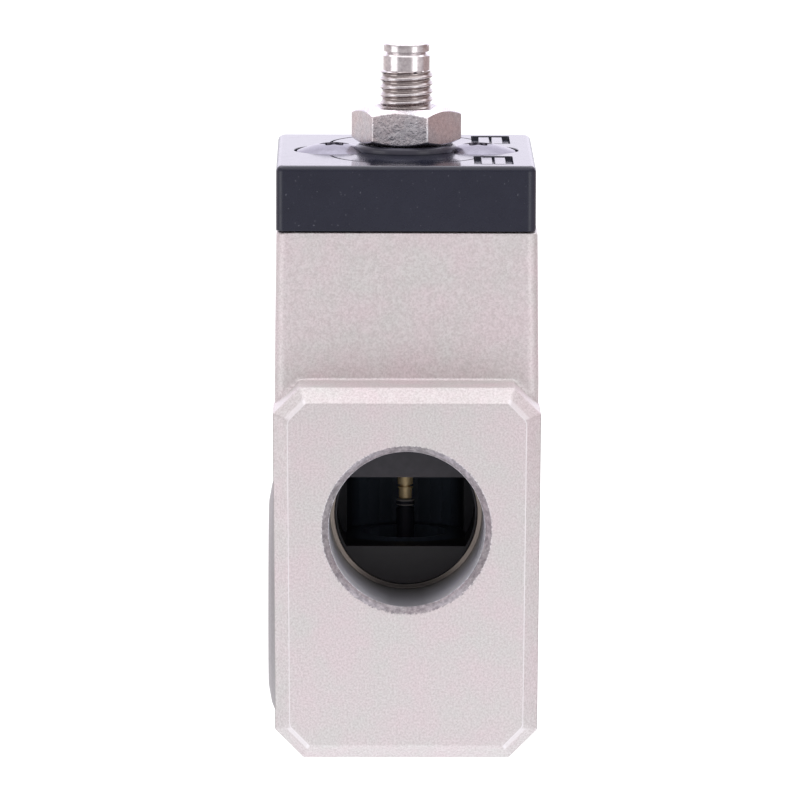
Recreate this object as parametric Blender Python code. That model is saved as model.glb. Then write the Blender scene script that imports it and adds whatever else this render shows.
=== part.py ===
"""Soft-start valve for a compressed-air service unit, as an assembly of separate pieces.

Units are metres and +Z is up. X runs across the valve and Y along the air flow, with the
outlet port at -Y and the inlet port at +Y. The origin is the middle of the base, on the
axis that the poppet, the piston, the adjusting spindle and its lock nut share.

How it works: air enters at +Y, under a spring-loaded poppet. A drilled passage takes a
little of it up to the throttle needle on the spindle, from where it fills the space above
the piston and, by a second passage, the outlet. Once the outlet has filled, the piston
pushes its stem down on the poppet and opens the full way through.
"""

import math

import bmesh
import bpy
from mathutils import Matrix

# Clearances
SEAT_GAP = 0.0003
RUNNING_GAP = 0.0003
CUT_OVERRUN = 0.001

# Die-cast housing
HOUSING_DEPTH = 0.0550
HOUSING_WIDTH_TOP = 0.0487
HOUSING_WIDTH_WAIST = 0.0493
HOUSING_WIDTH_FOOT = 0.0484
HOUSING_WAIST_HEIGHT = 0.0690
HOUSING_EDGE_RADIUS = 0.0022

# Flanges round the two ports
FACE_TO_FACE = 0.0800
FLANGE_HEIGHT = 0.0697
FLANGE_WIDTH_TOP = 0.0498
FLANGE_WIDTH_FOOT = 0.0488
FLANGE_TOP_CUT = 0.0050
FLANGE_FOOT_CUT = 0.0053
FLANGE_BEVEL = 0.0027
FLANGE_EDGE_RADIUS = 0.0006
FLANGE_ROOT_OVERLAP = 0.004

# Port recesses
PORT_DIAMETER = 0.0290
PORT_DRAFT = 0.0002
PORT_RIM_CHAMFER = 0.0013
PORT_SHOULDER = 0.00085
PORT_SHOULDER_DEPTH = 0.0010
PORT_WALL = 0.0048
OUTLET_SLOT_HEIGHT = 0.0128
OUTLET_INSERT_LIP = 0.0005
INLET_POCKET_WIDTH = 0.0190
INLET_POCKET_LENGTH = 0.0075
INLET_POCKET_HEIGHT = 0.0090

# Main bore, from the base upwards
MAIN_BORE_DIAMETER = 0.0280
MOUTH_STEP = 0.0016
MOUTH_DEPTH = 0.0100
RING_GROOVE_HEIGHT = 0.0017
RING_GROOVE_DEPTH = 0.0011
RING_GROOVE_LEVEL = 0.0025
INLET_CHAMBER_STEP = 0.0030
INLET_CHAMBER_FOOT = 0.0145
INLET_CHAMBER_TOP = 0.0052
PISTON_BORE_DIAMETER = 0.0260
PISTON_BORE_LENGTH = 0.0246
PISTON_CHAMBER_HEADROOM = 0.0050
COLLECTING_GROOVE_STEP = 0.0038
COLLECTING_GROOVE_HEIGHT = 0.0035
COLLECTING_GROOVE_DROP = 0.0010
VENT_DIAMETER = 0.0020
VENT_RISE = 0.0040

# Throttle chamber and the drilled passages
NEEDLE_CHAMBER_DIAMETER = 0.0120
NEEDLE_CHAMBER_DEPTH = 0.0094
THROTTLE_SEAT_HOLE_DIAMETER = 0.0086
THROTTLE_SEAT_LEDGE_DIAMETER = 0.0064
THROTTLE_SEAT_LEDGE = 0.0010
THROTTLE_SEAT_LENGTH = 0.0036
THROTTLE_BORE_DIAMETER = 0.0044
PASSAGE_DIAMETER = 0.0026
OUTLET_PASSAGE_WALL = 0.0011
INLET_PASSAGE_INSET = 0.0022
TOP_CHANNEL_DEPTH = 0.0020

# Gauge pad on the left side, with its plug
PAD_DIAMETER = 0.0420
PAD_HEIGHT = 0.0250
PAD_FACE = 0.0259
PAD_EDGE_RADIUS = 0.0012
GAUGE_SPOTFACE_DIAMETER = 0.0160
GAUGE_SPOTFACE_DEPTH = 0.0031
GAUGE_HOLE_DIAMETER = 0.0098
GAUGE_PLUG_COLLAR = 0.0025
GAUGE_PLUG_LENGTH = 0.0080
GAUGE_SEAL_WIDTH = 0.0014
GAUGE_PLUG_SOCKET = 0.0050
GAUGE_PLUG_SOCKET_DEPTH = 0.0045

# Cover
COVER_WIDTH = 0.0484
COVER_DEPTH = 0.0550
COVER_HEIGHT = 0.0122
COVER_CORNER_RADIUS = 0.0018
COVER_TOP_RADIUS = 0.0010
COVER_WINDOW_WIDTH = 0.0072
COVER_WINDOW_LENGTH = 0.0136
COVER_WINDOW_DEPTH = 0.0006
COVER_WINDOW_OFFSET_X = 0.0162
COVER_WINDOW_OFFSET_Y = 0.0172
COVER_GROOVE_RADIUS = 0.0148
COVER_GROOVE_CENTRE = 0.0094
COVER_GROOVE_WIDTH = 0.0007
COVER_GROOVE_DEPTH = 0.0004
GASKET_THICKNESS = 0.0008
GASKET_INSET = 0.0020

# Cover screws
SCREW_SPACING = 0.0272
SCREW_DIAMETER = 0.0084
SCREW_LENGTH = 0.0200
SCREW_HEAD_DIAMETER = 0.0143
SCREW_HEAD_HEIGHT = 0.0040
SCREW_HEAD_RIM = 0.0025
SCREW_POCKET_GAP = 0.0004
SCREW_POCKET_DEPTH = 0.0030
SCREW_SOCKET_RADIUS = 0.0029
SCREW_SOCKET_LOBE = 0.0004
SCREW_SOCKET_DEPTH = 0.0024
SCREW_HOLE_SPARE = 0.0010

# Adjusting spindle, its bushing, seal and stop ring
SPINDLE_DIAMETER = 0.0100
SPINDLE_REACH = 0.0203
SPINDLE_NECK_DIAMETER = 0.0089
SPINDLE_NECK_LENGTH = 0.0054
SPINDLE_TOP_LENGTH = 0.0019
SPINDLE_GROOVE_WIDTH = 0.0011
SPINDLE_GROOVE_DEPTH = 0.00045
SPINDLE_TOP_CHAMFER = 0.00025
SPINDLE_SOCKET = 0.0050
SPINDLE_SOCKET_DEPTH = 0.0040
SPINDLE_TRAVEL = 0.0030
STOP_GROOVE_DIAMETER = 0.0074
STOP_GROOVE_WIDTH = 0.0012
STOP_RING_DIAMETER = 0.0112
STOP_RING_OPENING = 50.0
NEEDLE_DIAMETER = 0.0038
NEEDLE_TIP_DIAMETER = 0.0016
NEEDLE_TAPER_LENGTH = 0.0046
NEEDLE_TIP_LEVEL = 0.0003
BUSHING_DIAMETER = 0.0144
BUSHING_LENGTH = 0.0050
BUSHING_GROOVE_WIDTH = 0.0010
BUSHING_GROOVE_DEPTH = 0.0005
SPINDLE_SEAL_WIDTH = 0.0013
SPINDLE_SEAL_HEIGHT = 0.0012

# Lock nut and the sealing ring under it
NUT_WIDTH = 0.0183
NUT_HEIGHT = 0.0060
NUT_CHAMFER = 0.0011
NUT_FACE_INSET = 0.0006
NUT_TURN = -8.4
NUT_RING_WIDTH = 0.0008
NUT_RING_HEIGHT = 0.0012

# Valve cage
CAGE_WALL = 0.0025
CAGE_SEAT_FLANGE = 0.0030
CAGE_SEAT_BORE = 0.0160
CAGE_BRIDGE = 0.0087
CAGE_LOWER_WINDOW_WIDTH = 0.0140
CAGE_LOWER_RIM = 0.0025
CAGE_BACK_WALL_START = 0.0010
CAGE_SEAL_GROOVE = 0.0015
CAGE_SEAL_HEIGHT = 0.0020
CAGE_UPPER_SEAL_RISE = 0.0026
CAGE_LOWER_SEAL_DROP = 0.0042
GUIDE_HOLE_DIAMETER = 0.0080
GUIDE_LEDGE = 0.0015
GUIDE_LEDGE_DIAMETER = 0.0040
STEM_SEAL_WIDTH = 0.0010
STEM_SEAL_HEIGHT = 0.0012

# Seat ring and poppet
SEAT_RING_HEIGHT = 0.0029
SEAT_RING_WIDTH = 0.0026
POPPET_DIAMETER = 0.0196
POPPET_THICKNESS = 0.0042
POPPET_FACING_WIDTH = 0.0030
POPPET_FACING_HEIGHT = 0.0010
POPPET_HUB_DIAMETER = 0.0090
POPPET_HUB_RISE = 0.0038
POPPET_STEM_DIAMETER = 0.0034
POPPET_STEM_DROP = 0.0003
POPPET_GUIDE_DIAMETER = 0.0054
POPPET_GUIDE_HOLD = 0.0030
VALVE_STROKE = 0.0040

# Stem and piston
STEM_DIAMETER = 0.0029
STEM_TIP_DIAMETER = 0.0022
STEM_TIP_LENGTH = 0.0019
STEM_RIM_WIDTH = 0.0003
STEM_GROOVE_WIDTH = 0.0004
STEM_GROOVE_DEPTH = 0.0003
STEM_COLLAR_DIAMETER = 0.0060
STEM_COLLAR_LENGTH = 0.0032
STEM_END_DIAMETER = 0.0032
STEM_END_LENGTH = 0.0016
STEM_CLIP_GROOVE_DIAMETER = 0.0022
STEM_CLIP_THICKNESS = 0.0006
STEM_CLIP_DIAMETER = 0.0072
PISTON_HEIGHT = 0.0090
PISTON_CROWN = 0.0035
PISTON_SKIRT = 0.0024
PISTON_SEAL_GROOVE = 0.0015
PISTON_SEAL_HEIGHT = 0.0020
PISTON_SEAL_RISE = 0.0016
PISTON_SEAL_GAP = 0.00015

# Bottom plug, retaining ring and poppet spring
PLUG_FLANGE = 0.0055
PLUG_SPIGOT = 0.0043
PLUG_SEAL_GROOVE = 0.0016
PLUG_SEAL_HEIGHT = 0.0018
PLUG_TOWER_DIAMETER = 0.0092
PLUG_TOWER_CLEARANCE = 0.0003
PLUG_GUIDE_CLEARANCE = 0.0005
PLUG_RECESS_DIAMETER = 0.0220
PLUG_RECESS_DEPTH = 0.0023
RETAINING_RING_WIDTH = 0.0030
RETAINING_RING_OPENING = 42.0
SPRING_ROOM = 0.0119
SPRING_DIAMETER = 0.0144
SPRING_WIRE = 0.0012
SPRING_TURNS = 4

# Facets round each kind of circle
PORT_SIDES = 44
BORE_SIDES = 28
PIECE_SIDES = 24
SMALL_SIDES = 16
SEAL_SIDES = 16

# Levels that more than one piece shares
HALF_DEPTH = HOUSING_DEPTH / 2
FACE_Y = FACE_TO_FACE / 2
MAIN_RADIUS = MAIN_BORE_DIAMETER / 2
PISTON_BORE_RADIUS = PISTON_BORE_DIAMETER / 2
PORT_RADIUS = PORT_DIAMETER / 2
PORT_INNER_RADIUS = PORT_RADIUS - PORT_DRAFT - PORT_SHOULDER
PORT_WALL_Y = MAIN_RADIUS + PORT_WALL
PLUG_TOP = MOUTH_DEPTH - SEAT_GAP + PLUG_SPIGOT
POPPET_FOOT = PLUG_TOP + SPRING_ROOM
POPPET_TOP = POPPET_FOOT + SEAT_GAP + POPPET_THICKNESS
POPPET_SEAT_FOOT = POPPET_TOP + SEAT_GAP
WINDOW_FOOT = POPPET_SEAT_FOOT + SEAT_RING_HEIGHT + SEAT_GAP + CAGE_SEAT_FLANGE
WINDOW_TOP = WINDOW_FOOT + OUTLET_SLOT_HEIGHT
PORT_HEIGHT = WINDOW_FOOT + OUTLET_SLOT_HEIGHT / 2
CAGE_TOP = WINDOW_TOP + CAGE_BRIDGE
CAGE_SHOULDER = CAGE_TOP + SEAT_GAP
INSERT_RADIUS = PORT_INNER_RADIUS - SEAT_GAP
CHAMBER_ROOF = CAGE_SHOULDER + PISTON_BORE_LENGTH
THROTTLE_SEAT_FOOT = CHAMBER_ROOF + THROTTLE_SEAT_LEDGE
THROTTLE_FLOOR = THROTTLE_SEAT_FOOT + THROTTLE_SEAT_LENGTH
HOUSING_HEIGHT = THROTTLE_FLOOR + NEEDLE_CHAMBER_DEPTH
PISTON_TOP = CHAMBER_ROOF - PISTON_CHAMBER_HEADROOM
PISTON_FOOT = PISTON_TOP - PISTON_HEIGHT
COVER_FOOT = HOUSING_HEIGHT + SEAT_GAP
COVER_TOP = COVER_FOOT + COVER_HEIGHT
GASKET_TOP = COVER_FOOT + GASKET_THICKNESS
SEAL_CAVITY_FOOT = GASKET_TOP + SEAT_GAP
BUSHING_CAVITY_FOOT = SEAL_CAVITY_FOOT + SPINDLE_SEAL_HEIGHT + SEAT_GAP
BUSHING_FOOT = BUSHING_CAVITY_FOOT + SEAT_GAP
BUSHING_CAVITY_TOP = BUSHING_FOOT + BUSHING_LENGTH + SEAT_GAP
NUT_RING_FOOT = COVER_TOP + SEAT_GAP
NUT_FOOT = NUT_RING_FOOT + NUT_RING_HEIGHT + SEAT_GAP
SPINDLE_RADIUS = SPINDLE_DIAMETER / 2
SPINDLE_TOP = COVER_TOP + SPINDLE_REACH
SPINDLE_HOLE_RADIUS = SPINDLE_RADIUS + RUNNING_GAP
STOP_GROOVE_TOP = COVER_FOOT - SPINDLE_TRAVEL + RUNNING_GAP - SEAT_GAP
POPPET_STEM_END = PORT_HEIGHT - POPPET_STEM_DROP
STEM_FOOT = POPPET_STEM_END + SEAT_GAP
PLUG_TOWER_TOP = POPPET_FOOT - VALVE_STROKE - PLUG_TOWER_CLEARANCE
POPPET_GUIDE_FOOT = PLUG_TOWER_TOP - POPPET_GUIDE_HOLD
CAGE_FOOT = PLUG_TOP + SEAT_GAP
CAGE_RADIUS = MAIN_RADIUS - SEAT_GAP
CAGE_INNER_RADIUS = CAGE_RADIUS - CAGE_WALL
INLET_CHAMBER_ROOF = WINDOW_FOOT - INLET_CHAMBER_TOP


def clear_scene():
    """Remove what the file opened with."""
    for item in list(bpy.data.objects):
        bpy.data.objects.remove(item, do_unlink=True)


def make_material(name, colour, roughness, metallic):
    """A Principled material with one colour."""
    material = bpy.data.materials.new(name)
    material.use_nodes = True
    shader = material.node_tree.nodes["Principled BSDF"]
    shader.inputs["Base Color"].default_value = (*colour, 1.0)
    shader.inputs["Roughness"].default_value = roughness
    shader.inputs["Metallic"].default_value = metallic
    material.diffuse_color = (*colour, 1.0)
    return material


def make_object(name, mesh_data, material):
    """Close a bmesh into a named object with smooth round faces and sharp corners."""
    bmesh.ops.recalc_face_normals(mesh_data, faces=mesh_data.faces)
    mesh = bpy.data.meshes.new(name)
    mesh_data.to_mesh(mesh)
    mesh_data.free()
    mesh.shade_smooth()
    mesh.set_sharp_from_angle(angle=math.radians(35))
    mesh.materials.append(material)
    piece = bpy.data.objects.new(name, mesh)
    bpy.context.scene.collection.objects.link(piece)
    return piece


def turned_mesh(profile, sides):
    """Turn (radius, height) points about Z. A profile off the axis becomes a ring."""
    turned = bmesh.new()
    points = [turned.verts.new((radius, 0.0, height)) for radius, height in profile]
    lines = [turned.edges.new(pair) for pair in zip(points, points[1:])]
    if profile[0][0] > 0.0:
        lines.append(turned.edges.new((points[-1], points[0])))
    bmesh.ops.spin(
        turned,
        geom=points + lines,
        cent=(0.0, 0.0, 0.0),
        axis=(0.0, 0.0, 1.0),
        angle=math.tau,
        steps=sides,
        use_merge=True,
    )
    bmesh.ops.remove_doubles(turned, verts=turned.verts, dist=1e-7)
    return turned


def prism_mesh(outline, foot, top):
    """Extrude an (x, y) outline from height foot to height top."""
    prism = bmesh.new()
    points = [prism.verts.new((x, y, foot)) for x, y in outline]
    base = prism.faces.new(points)
    extruded = bmesh.ops.extrude_face_region(prism, geom=[base])
    risen = [v for v in extruded["geom"] if isinstance(v, bmesh.types.BMVert)]
    bmesh.ops.translate(prism, verts=risen, vec=(0.0, 0.0, top - foot))
    return prism


def lay_along_y(mesh_data, side=1):
    """Turn a mesh built upwards so that its +Z points along +Y or -Y and its y along Z."""
    turn = Matrix(((1, 0, 0), (0, 0, side), (0, 1, 0)))
    bmesh.ops.transform(mesh_data, matrix=turn.to_4x4(), verts=mesh_data.verts)
    return mesh_data


def lay_along_minus_x(mesh_data):
    """Turn a mesh built upwards so that its +Z points along -X."""
    turn = Matrix.Rotation(-math.pi / 2, 4, "Y")
    bmesh.ops.transform(mesh_data, matrix=turn, verts=mesh_data.verts)
    return mesh_data


def shift(mesh_data, x=0.0, y=0.0, z=0.0):
    """Move a whole mesh."""
    bmesh.ops.translate(mesh_data, verts=mesh_data.verts, vec=(x, y, z))
    return mesh_data


def box_mesh(low, high):
    """A block between two corners."""
    outline = [(low[0], low[1]), (high[0], low[1]), (high[0], high[1]), (low[0], high[1])]
    return prism_mesh(outline, low[2], high[2])


def polygon(radius, sides, turn=0.0):
    """Corners of a regular polygon, the first at the angle turn."""
    angles = [turn + math.tau * index / sides for index in range(sides)]
    return [(radius * math.cos(angle), radius * math.sin(angle)) for angle in angles]


def arc(radius, start, end, steps):
    """Points along an arc about the origin, angles in radians."""
    angles = [start + (end - start) * index / steps for index in range(steps + 1)]
    return [(radius * math.cos(angle), radius * math.sin(angle)) for angle in angles]


def open_ring_outline(inner, outer, opening, steps=28):
    """A spring-steel ring with a gap of so many degrees at +X."""
    half_gap = math.radians(opening) / 2
    outside = arc(outer, half_gap, math.tau - half_gap, steps)
    inside = arc(inner, math.tau - half_gap, half_gap, steps)
    return outside + inside


def helper(name, mesh_data):
    """A hidden body that another piece is joined with or cut by."""
    piece = make_object(name, mesh_data, MATERIALS["guide"])
    piece.hide_render = True
    piece.display_type = "WIRE"
    return piece


def combine(piece, operation, name, mesh_data):
    """Join a helper body to a piece, cut it out, or keep what they share."""
    modifier = piece.modifiers.new(name, "BOOLEAN")
    modifier.operation = operation
    modifier.solver = "EXACT"
    modifier.object = helper(name, mesh_data)


def round_edges(mesh_data, edges, radius, steps):
    """Round or chamfer the given edges."""
    bmesh.ops.bevel(
        mesh_data,
        geom=edges,
        offset=radius,
        offset_type="OFFSET",
        segments=steps,
        profile=0.5,
        affect="EDGES",
        clamp_overlap=True,
    )


def edge_direction(edge):
    """Unit vector along an edge."""
    return (edge.verts[1].co - edge.verts[0].co).normalized()


def housing_mesh():
    """The drafted block between the flanges, its foot corners cut and its edges rounded."""
    foot = HOUSING_WIDTH_FOOT / 2
    waist = HOUSING_WIDTH_WAIST / 2
    top = HOUSING_WIDTH_TOP / 2
    right = [
        (foot - FLANGE_FOOT_CUT, 0.0),
        (foot, FLANGE_FOOT_CUT),
        (waist, HOUSING_WAIST_HEIGHT),
        (top, HOUSING_HEIGHT),
    ]
    left = [(-x, z) for x, z in reversed(right)]
    block = lay_along_y(prism_mesh(right + left, -HALF_DEPTH, HALF_DEPTH))
    upright = [
        edge
        for edge in block.edges
        if abs(edge_direction(edge).z) > 0.9 and edge.calc_length() > FLANGE_FOOT_CUT
    ]
    round_edges(block, upright, HOUSING_EDGE_RADIUS, 4)
    return block


def flange_mesh(side):
    """One port flange: a drafted plate with cut corners and a bevel all round its face."""
    foot = FLANGE_WIDTH_FOOT / 2
    top = FLANGE_WIDTH_TOP / 2
    right = [
        (foot - FLANGE_FOOT_CUT, 0.0),
        (foot, FLANGE_FOOT_CUT),
        (top, FLANGE_HEIGHT - FLANGE_TOP_CUT),
        (top - FLANGE_TOP_CUT, FLANGE_HEIGHT),
    ]
    left = [(-x, z) for x, z in reversed(right)]
    plate = prism_mesh(right + left, HALF_DEPTH - FLANGE_ROOT_OVERLAP, FACE_Y)
    face_edges = [
        edge
        for edge in plate.edges
        if all(abs(vertex.co.z - FACE_Y) < CUT_OVERRUN for vertex in edge.verts)
    ]
    round_edges(plate, face_edges, FLANGE_BEVEL, 1)
    corners = [edge for edge in plate.edges if abs(edge_direction(edge).z) > 0.5]
    ridges = [edge for edge in corners if len(edge.link_faces) == 2]
    long_ridges = [edge for edge in ridges if abs(edge_direction(edge).z) > 0.99]
    round_edges(plate, long_ridges, FLANGE_EDGE_RADIUS, 2)
    return lay_along_y(plate, side)


def pad_mesh():
    """The raised round pad for a pressure gauge, with a rounded rim."""
    radius = PAD_DIAMETER / 2
    inner = HOUSING_WIDTH_FOOT / 2 - FLANGE_FOOT_CUT
    rim = [
        (radius - PAD_EDGE_RADIUS * (1 - math.sin(angle)),
         PAD_FACE - PAD_EDGE_RADIUS * (1 - math.cos(angle)))
        for angle in (math.pi / 2, math.pi / 3, math.pi / 6, 0.0)
    ]
    profile = [(0.0, inner), (radius, inner)] + rim + [(0.0, PAD_FACE)]
    return shift(lay_along_minus_x(turned_mesh(profile, PORT_SIDES)), z=PAD_HEIGHT)


def port_cutter_mesh(side):
    """A port recess: chamfered rim, drafted wall, small shoulder and flat inner wall."""
    shoulder_y = PORT_WALL_Y + PORT_SHOULDER_DEPTH
    wall_radius = PORT_RADIUS - PORT_DRAFT
    rim = PORT_RADIUS + PORT_RIM_CHAMFER
    profile = [
        (0.0, PORT_WALL_Y),
        (PORT_INNER_RADIUS, PORT_WALL_Y),
        (PORT_INNER_RADIUS, shoulder_y),
        (wall_radius, shoulder_y),
        (PORT_RADIUS, FACE_Y - PORT_RIM_CHAMFER),
        (rim + CUT_OVERRUN, FACE_Y + CUT_OVERRUN),
        (0.0, FACE_Y + CUT_OVERRUN),
    ]
    cutter = lay_along_y(turned_mesh(profile, PORT_SIDES), side)
    return shift(cutter, z=PORT_HEIGHT)


def outlet_slot_mesh(radius, inner_y, outer_y):
    """A slice of the outlet recess, its ends rounded to the given radius."""
    limit = math.asin(OUTLET_SLOT_HEIGHT / 2 / radius)
    steps = 8
    right = arc(radius, -limit, limit, steps)
    left = arc(radius, math.pi - limit, math.pi + limit, steps)
    slot = prism_mesh(right + left, inner_y, outer_y)
    return shift(lay_along_y(slot, -1), z=PORT_HEIGHT)


def build_outlet_insert():
    """Black plate on the inner wall of the outlet recess, open along the slot."""
    foot = PORT_WALL_Y + SEAT_GAP
    top = PORT_WALL_Y + PORT_SHOULDER_DEPTH
    disc = [
        (0.0, foot),
        (INSERT_RADIUS, foot),
        (INSERT_RADIUS, top - OUTLET_INSERT_LIP / 2),
        (INSERT_RADIUS - OUTLET_INSERT_LIP / 2, top),
        (0.0, top),
    ]
    plate = shift(lay_along_y(turned_mesh(disc, PORT_SIDES), -1), z=PORT_HEIGHT)
    insert = make_object("outlet_insert", plate, MATERIALS["insert"])
    slot = outlet_slot_mesh(INSERT_RADIUS - OUTLET_INSERT_LIP, MAIN_RADIUS, FACE_Y)
    combine(insert, "DIFFERENCE", "cut_insert_slot", slot)
    return insert


def inlet_pocket_mesh():
    """The way down from the inlet recess into the chamber under the seat."""
    half_width = INLET_POCKET_WIDTH / 2
    low = (-half_width, MAIN_RADIUS / 2, INLET_CHAMBER_ROOF - INLET_POCKET_HEIGHT)
    high = (half_width, PORT_WALL_Y + INLET_POCKET_LENGTH, INLET_CHAMBER_ROOF)
    return box_mesh(low, high)


def main_bore_mesh():
    """Everything turned about the valve axis, from the mouth to the needle chamber."""
    mouth = MAIN_RADIUS + MOUTH_STEP
    ring_groove = mouth + RING_GROOVE_DEPTH
    ring_top = RING_GROOVE_LEVEL + RING_GROOVE_HEIGHT
    inlet_chamber = MAIN_RADIUS + INLET_CHAMBER_STEP
    collecting = PISTON_BORE_RADIUS + COLLECTING_GROOVE_STEP
    collecting_top = CHAMBER_ROOF - COLLECTING_GROOVE_DROP
    collecting_foot = collecting_top - COLLECTING_GROOVE_HEIGHT
    ledge = THROTTLE_SEAT_LEDGE_DIAMETER / 2
    seat_hole = THROTTLE_SEAT_HOLE_DIAMETER / 2
    needle_chamber = NEEDLE_CHAMBER_DIAMETER / 2
    above = HOUSING_HEIGHT + CUT_OVERRUN
    profile = [
        (0.0, -CUT_OVERRUN),
        (mouth, -CUT_OVERRUN),
        (mouth, RING_GROOVE_LEVEL),
        (ring_groove, RING_GROOVE_LEVEL),
        (ring_groove, ring_top),
        (mouth, ring_top),
        (mouth, MOUTH_DEPTH),
        (MAIN_RADIUS, MOUTH_DEPTH),
        (MAIN_RADIUS, INLET_CHAMBER_FOOT),
        (inlet_chamber, INLET_CHAMBER_FOOT),
        (inlet_chamber, INLET_CHAMBER_ROOF),
        (MAIN_RADIUS, INLET_CHAMBER_ROOF),
        (MAIN_RADIUS, CAGE_SHOULDER),
        (PISTON_BORE_RADIUS, CAGE_SHOULDER),
        (PISTON_BORE_RADIUS, collecting_foot),
        (collecting, collecting_foot),
        (collecting, collecting_top),
        (PISTON_BORE_RADIUS, collecting_top),
        (PISTON_BORE_RADIUS, CHAMBER_ROOF),
        (ledge, CHAMBER_ROOF),
        (ledge, THROTTLE_SEAT_FOOT),
        (seat_hole, THROTTLE_SEAT_FOOT),
        (seat_hole, THROTTLE_FLOOR),
        (needle_chamber, THROTTLE_FLOOR),
        (needle_chamber, above),
        (0.0, above),
    ]
    return turned_mesh(profile, BORE_SIDES)


def drilled_mesh(diameter, foot, top, x=0.0, y=0.0):
    """A plain vertical hole."""
    outline = polygon(diameter / 2, SMALL_SIDES)
    return shift(prism_mesh(outline, foot, top), x=x, y=y)


def outlet_passage_y():
    """Where the outlet passage runs, between the main bore and the recess's inner wall."""
    return -(MAIN_RADIUS + OUTLET_PASSAGE_WALL + PASSAGE_DIAMETER / 2)


def inlet_passage_y():
    """Where the inlet passage meets the inlet recess from above."""
    return PORT_WALL_Y + PORT_SHOULDER_DEPTH + INLET_PASSAGE_INSET


def gauge_hole_mesh():
    """Spotface and hole in the gauge pad, through to the inlet chamber."""
    spotface = GAUGE_SPOTFACE_DIAMETER / 2
    hole = GAUGE_HOLE_DIAMETER / 2
    floor = PAD_FACE - GAUGE_SPOTFACE_DEPTH
    profile = [
        (0.0, MAIN_RADIUS),
        (hole, MAIN_RADIUS),
        (hole, floor),
        (spotface, floor),
        (spotface, PAD_FACE + CUT_OVERRUN),
        (0.0, PAD_FACE + CUT_OVERRUN),
    ]
    cutter = lay_along_minus_x(turned_mesh(profile, BORE_SIDES))
    return shift(cutter, z=PAD_HEIGHT)


def vent_mesh():
    """The hole that lets the space under the piston breathe."""
    vent = prism_mesh(
        polygon(VENT_DIAMETER / 2, SMALL_SIDES // 2),
        PISTON_BORE_RADIUS - CUT_OVERRUN,
        HOUSING_WIDTH_WAIST / 2 + CUT_OVERRUN,
    )
    bmesh.ops.transform(vent, matrix=Matrix.Rotation(math.pi / 2, 4, "Y"), verts=vent.verts)
    return shift(vent, z=CAGE_SHOULDER + VENT_RISE)


def build_valve_body():
    """The die-cast housing with its flanges, pad, port recesses and drillings."""
    body = make_object("valve_body", housing_mesh(), MATERIALS["housing"])
    combine(body, "UNION", "join_outlet_flange", flange_mesh(-1))
    combine(body, "UNION", "join_inlet_flange", flange_mesh(1))
    combine(body, "UNION", "join_gauge_pad", pad_mesh())
    combine(body, "DIFFERENCE", "cut_outlet_port", port_cutter_mesh(-1))
    combine(body, "DIFFERENCE", "cut_inlet_port", port_cutter_mesh(1))
    slot = outlet_slot_mesh(
        PORT_INNER_RADIUS, MAIN_RADIUS / 3, PORT_WALL_Y + PORT_SHOULDER_DEPTH / 2
    )
    combine(body, "DIFFERENCE", "cut_outlet_slot", slot)
    combine(body, "DIFFERENCE", "cut_inlet_pocket", inlet_pocket_mesh())
    combine(body, "DIFFERENCE", "cut_main_bore", main_bore_mesh())
    combine(body, "DIFFERENCE", "cut_gauge_hole", gauge_hole_mesh())
    combine(body, "DIFFERENCE", "cut_vent", vent_mesh())
    above = HOUSING_HEIGHT + CUT_OVERRUN
    outlet_passage = drilled_mesh(
        PASSAGE_DIAMETER, WINDOW_TOP - CUT_OVERRUN, above, y=outlet_passage_y()
    )
    combine(body, "DIFFERENCE", "cut_outlet_passage", outlet_passage)
    inlet_passage = drilled_mesh(PASSAGE_DIAMETER, PORT_HEIGHT, above, y=inlet_passage_y())
    combine(body, "DIFFERENCE", "cut_inlet_passage", inlet_passage)
    channel = box_mesh(
        (-PASSAGE_DIAMETER / 3, 0.0, HOUSING_HEIGHT - TOP_CHANNEL_DEPTH),
        (PASSAGE_DIAMETER / 3, inlet_passage_y(), above),
    )
    combine(body, "DIFFERENCE", "cut_top_channel", channel)
    hole_foot = screw_tip_level() - SCREW_HOLE_SPARE
    for side, word in ((-1, "left"), (1, "right")):
        hole = drilled_mesh(
            SCREW_DIAMETER + 2 * SEAT_GAP, hole_foot, above, x=side * SCREW_SPACING / 2
        )
        combine(body, "DIFFERENCE", "cut_thread_hole_" + word, hole)
    return body


def screw_head_foot():
    """Underside of a cover screw's head, just above its pocket floor."""
    return COVER_TOP - SCREW_POCKET_DEPTH + SEAT_GAP


def screw_tip_level():
    """The lowest point of a cover screw."""
    return screw_head_foot() - SCREW_LENGTH


def rounded_block_mesh(width, depth, foot, top, corner, rim):
    """A block with rounded upright corners and a rounded top rim."""
    half_x = width / 2
    half_y = depth / 2
    block = box_mesh((-half_x, -half_y, foot), (half_x, half_y, top))
    upright = [edge for edge in block.edges if abs(edge_direction(edge).z) > 0.9]
    round_edges(block, upright, corner, 4)
    if rim > 0.0:
        upper = [
            edge
            for edge in block.edges
            if all(abs(vertex.co.z - top) < rim / 10 for vertex in edge.verts)
        ]
        round_edges(block, upper, rim, 3)
    return block


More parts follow.
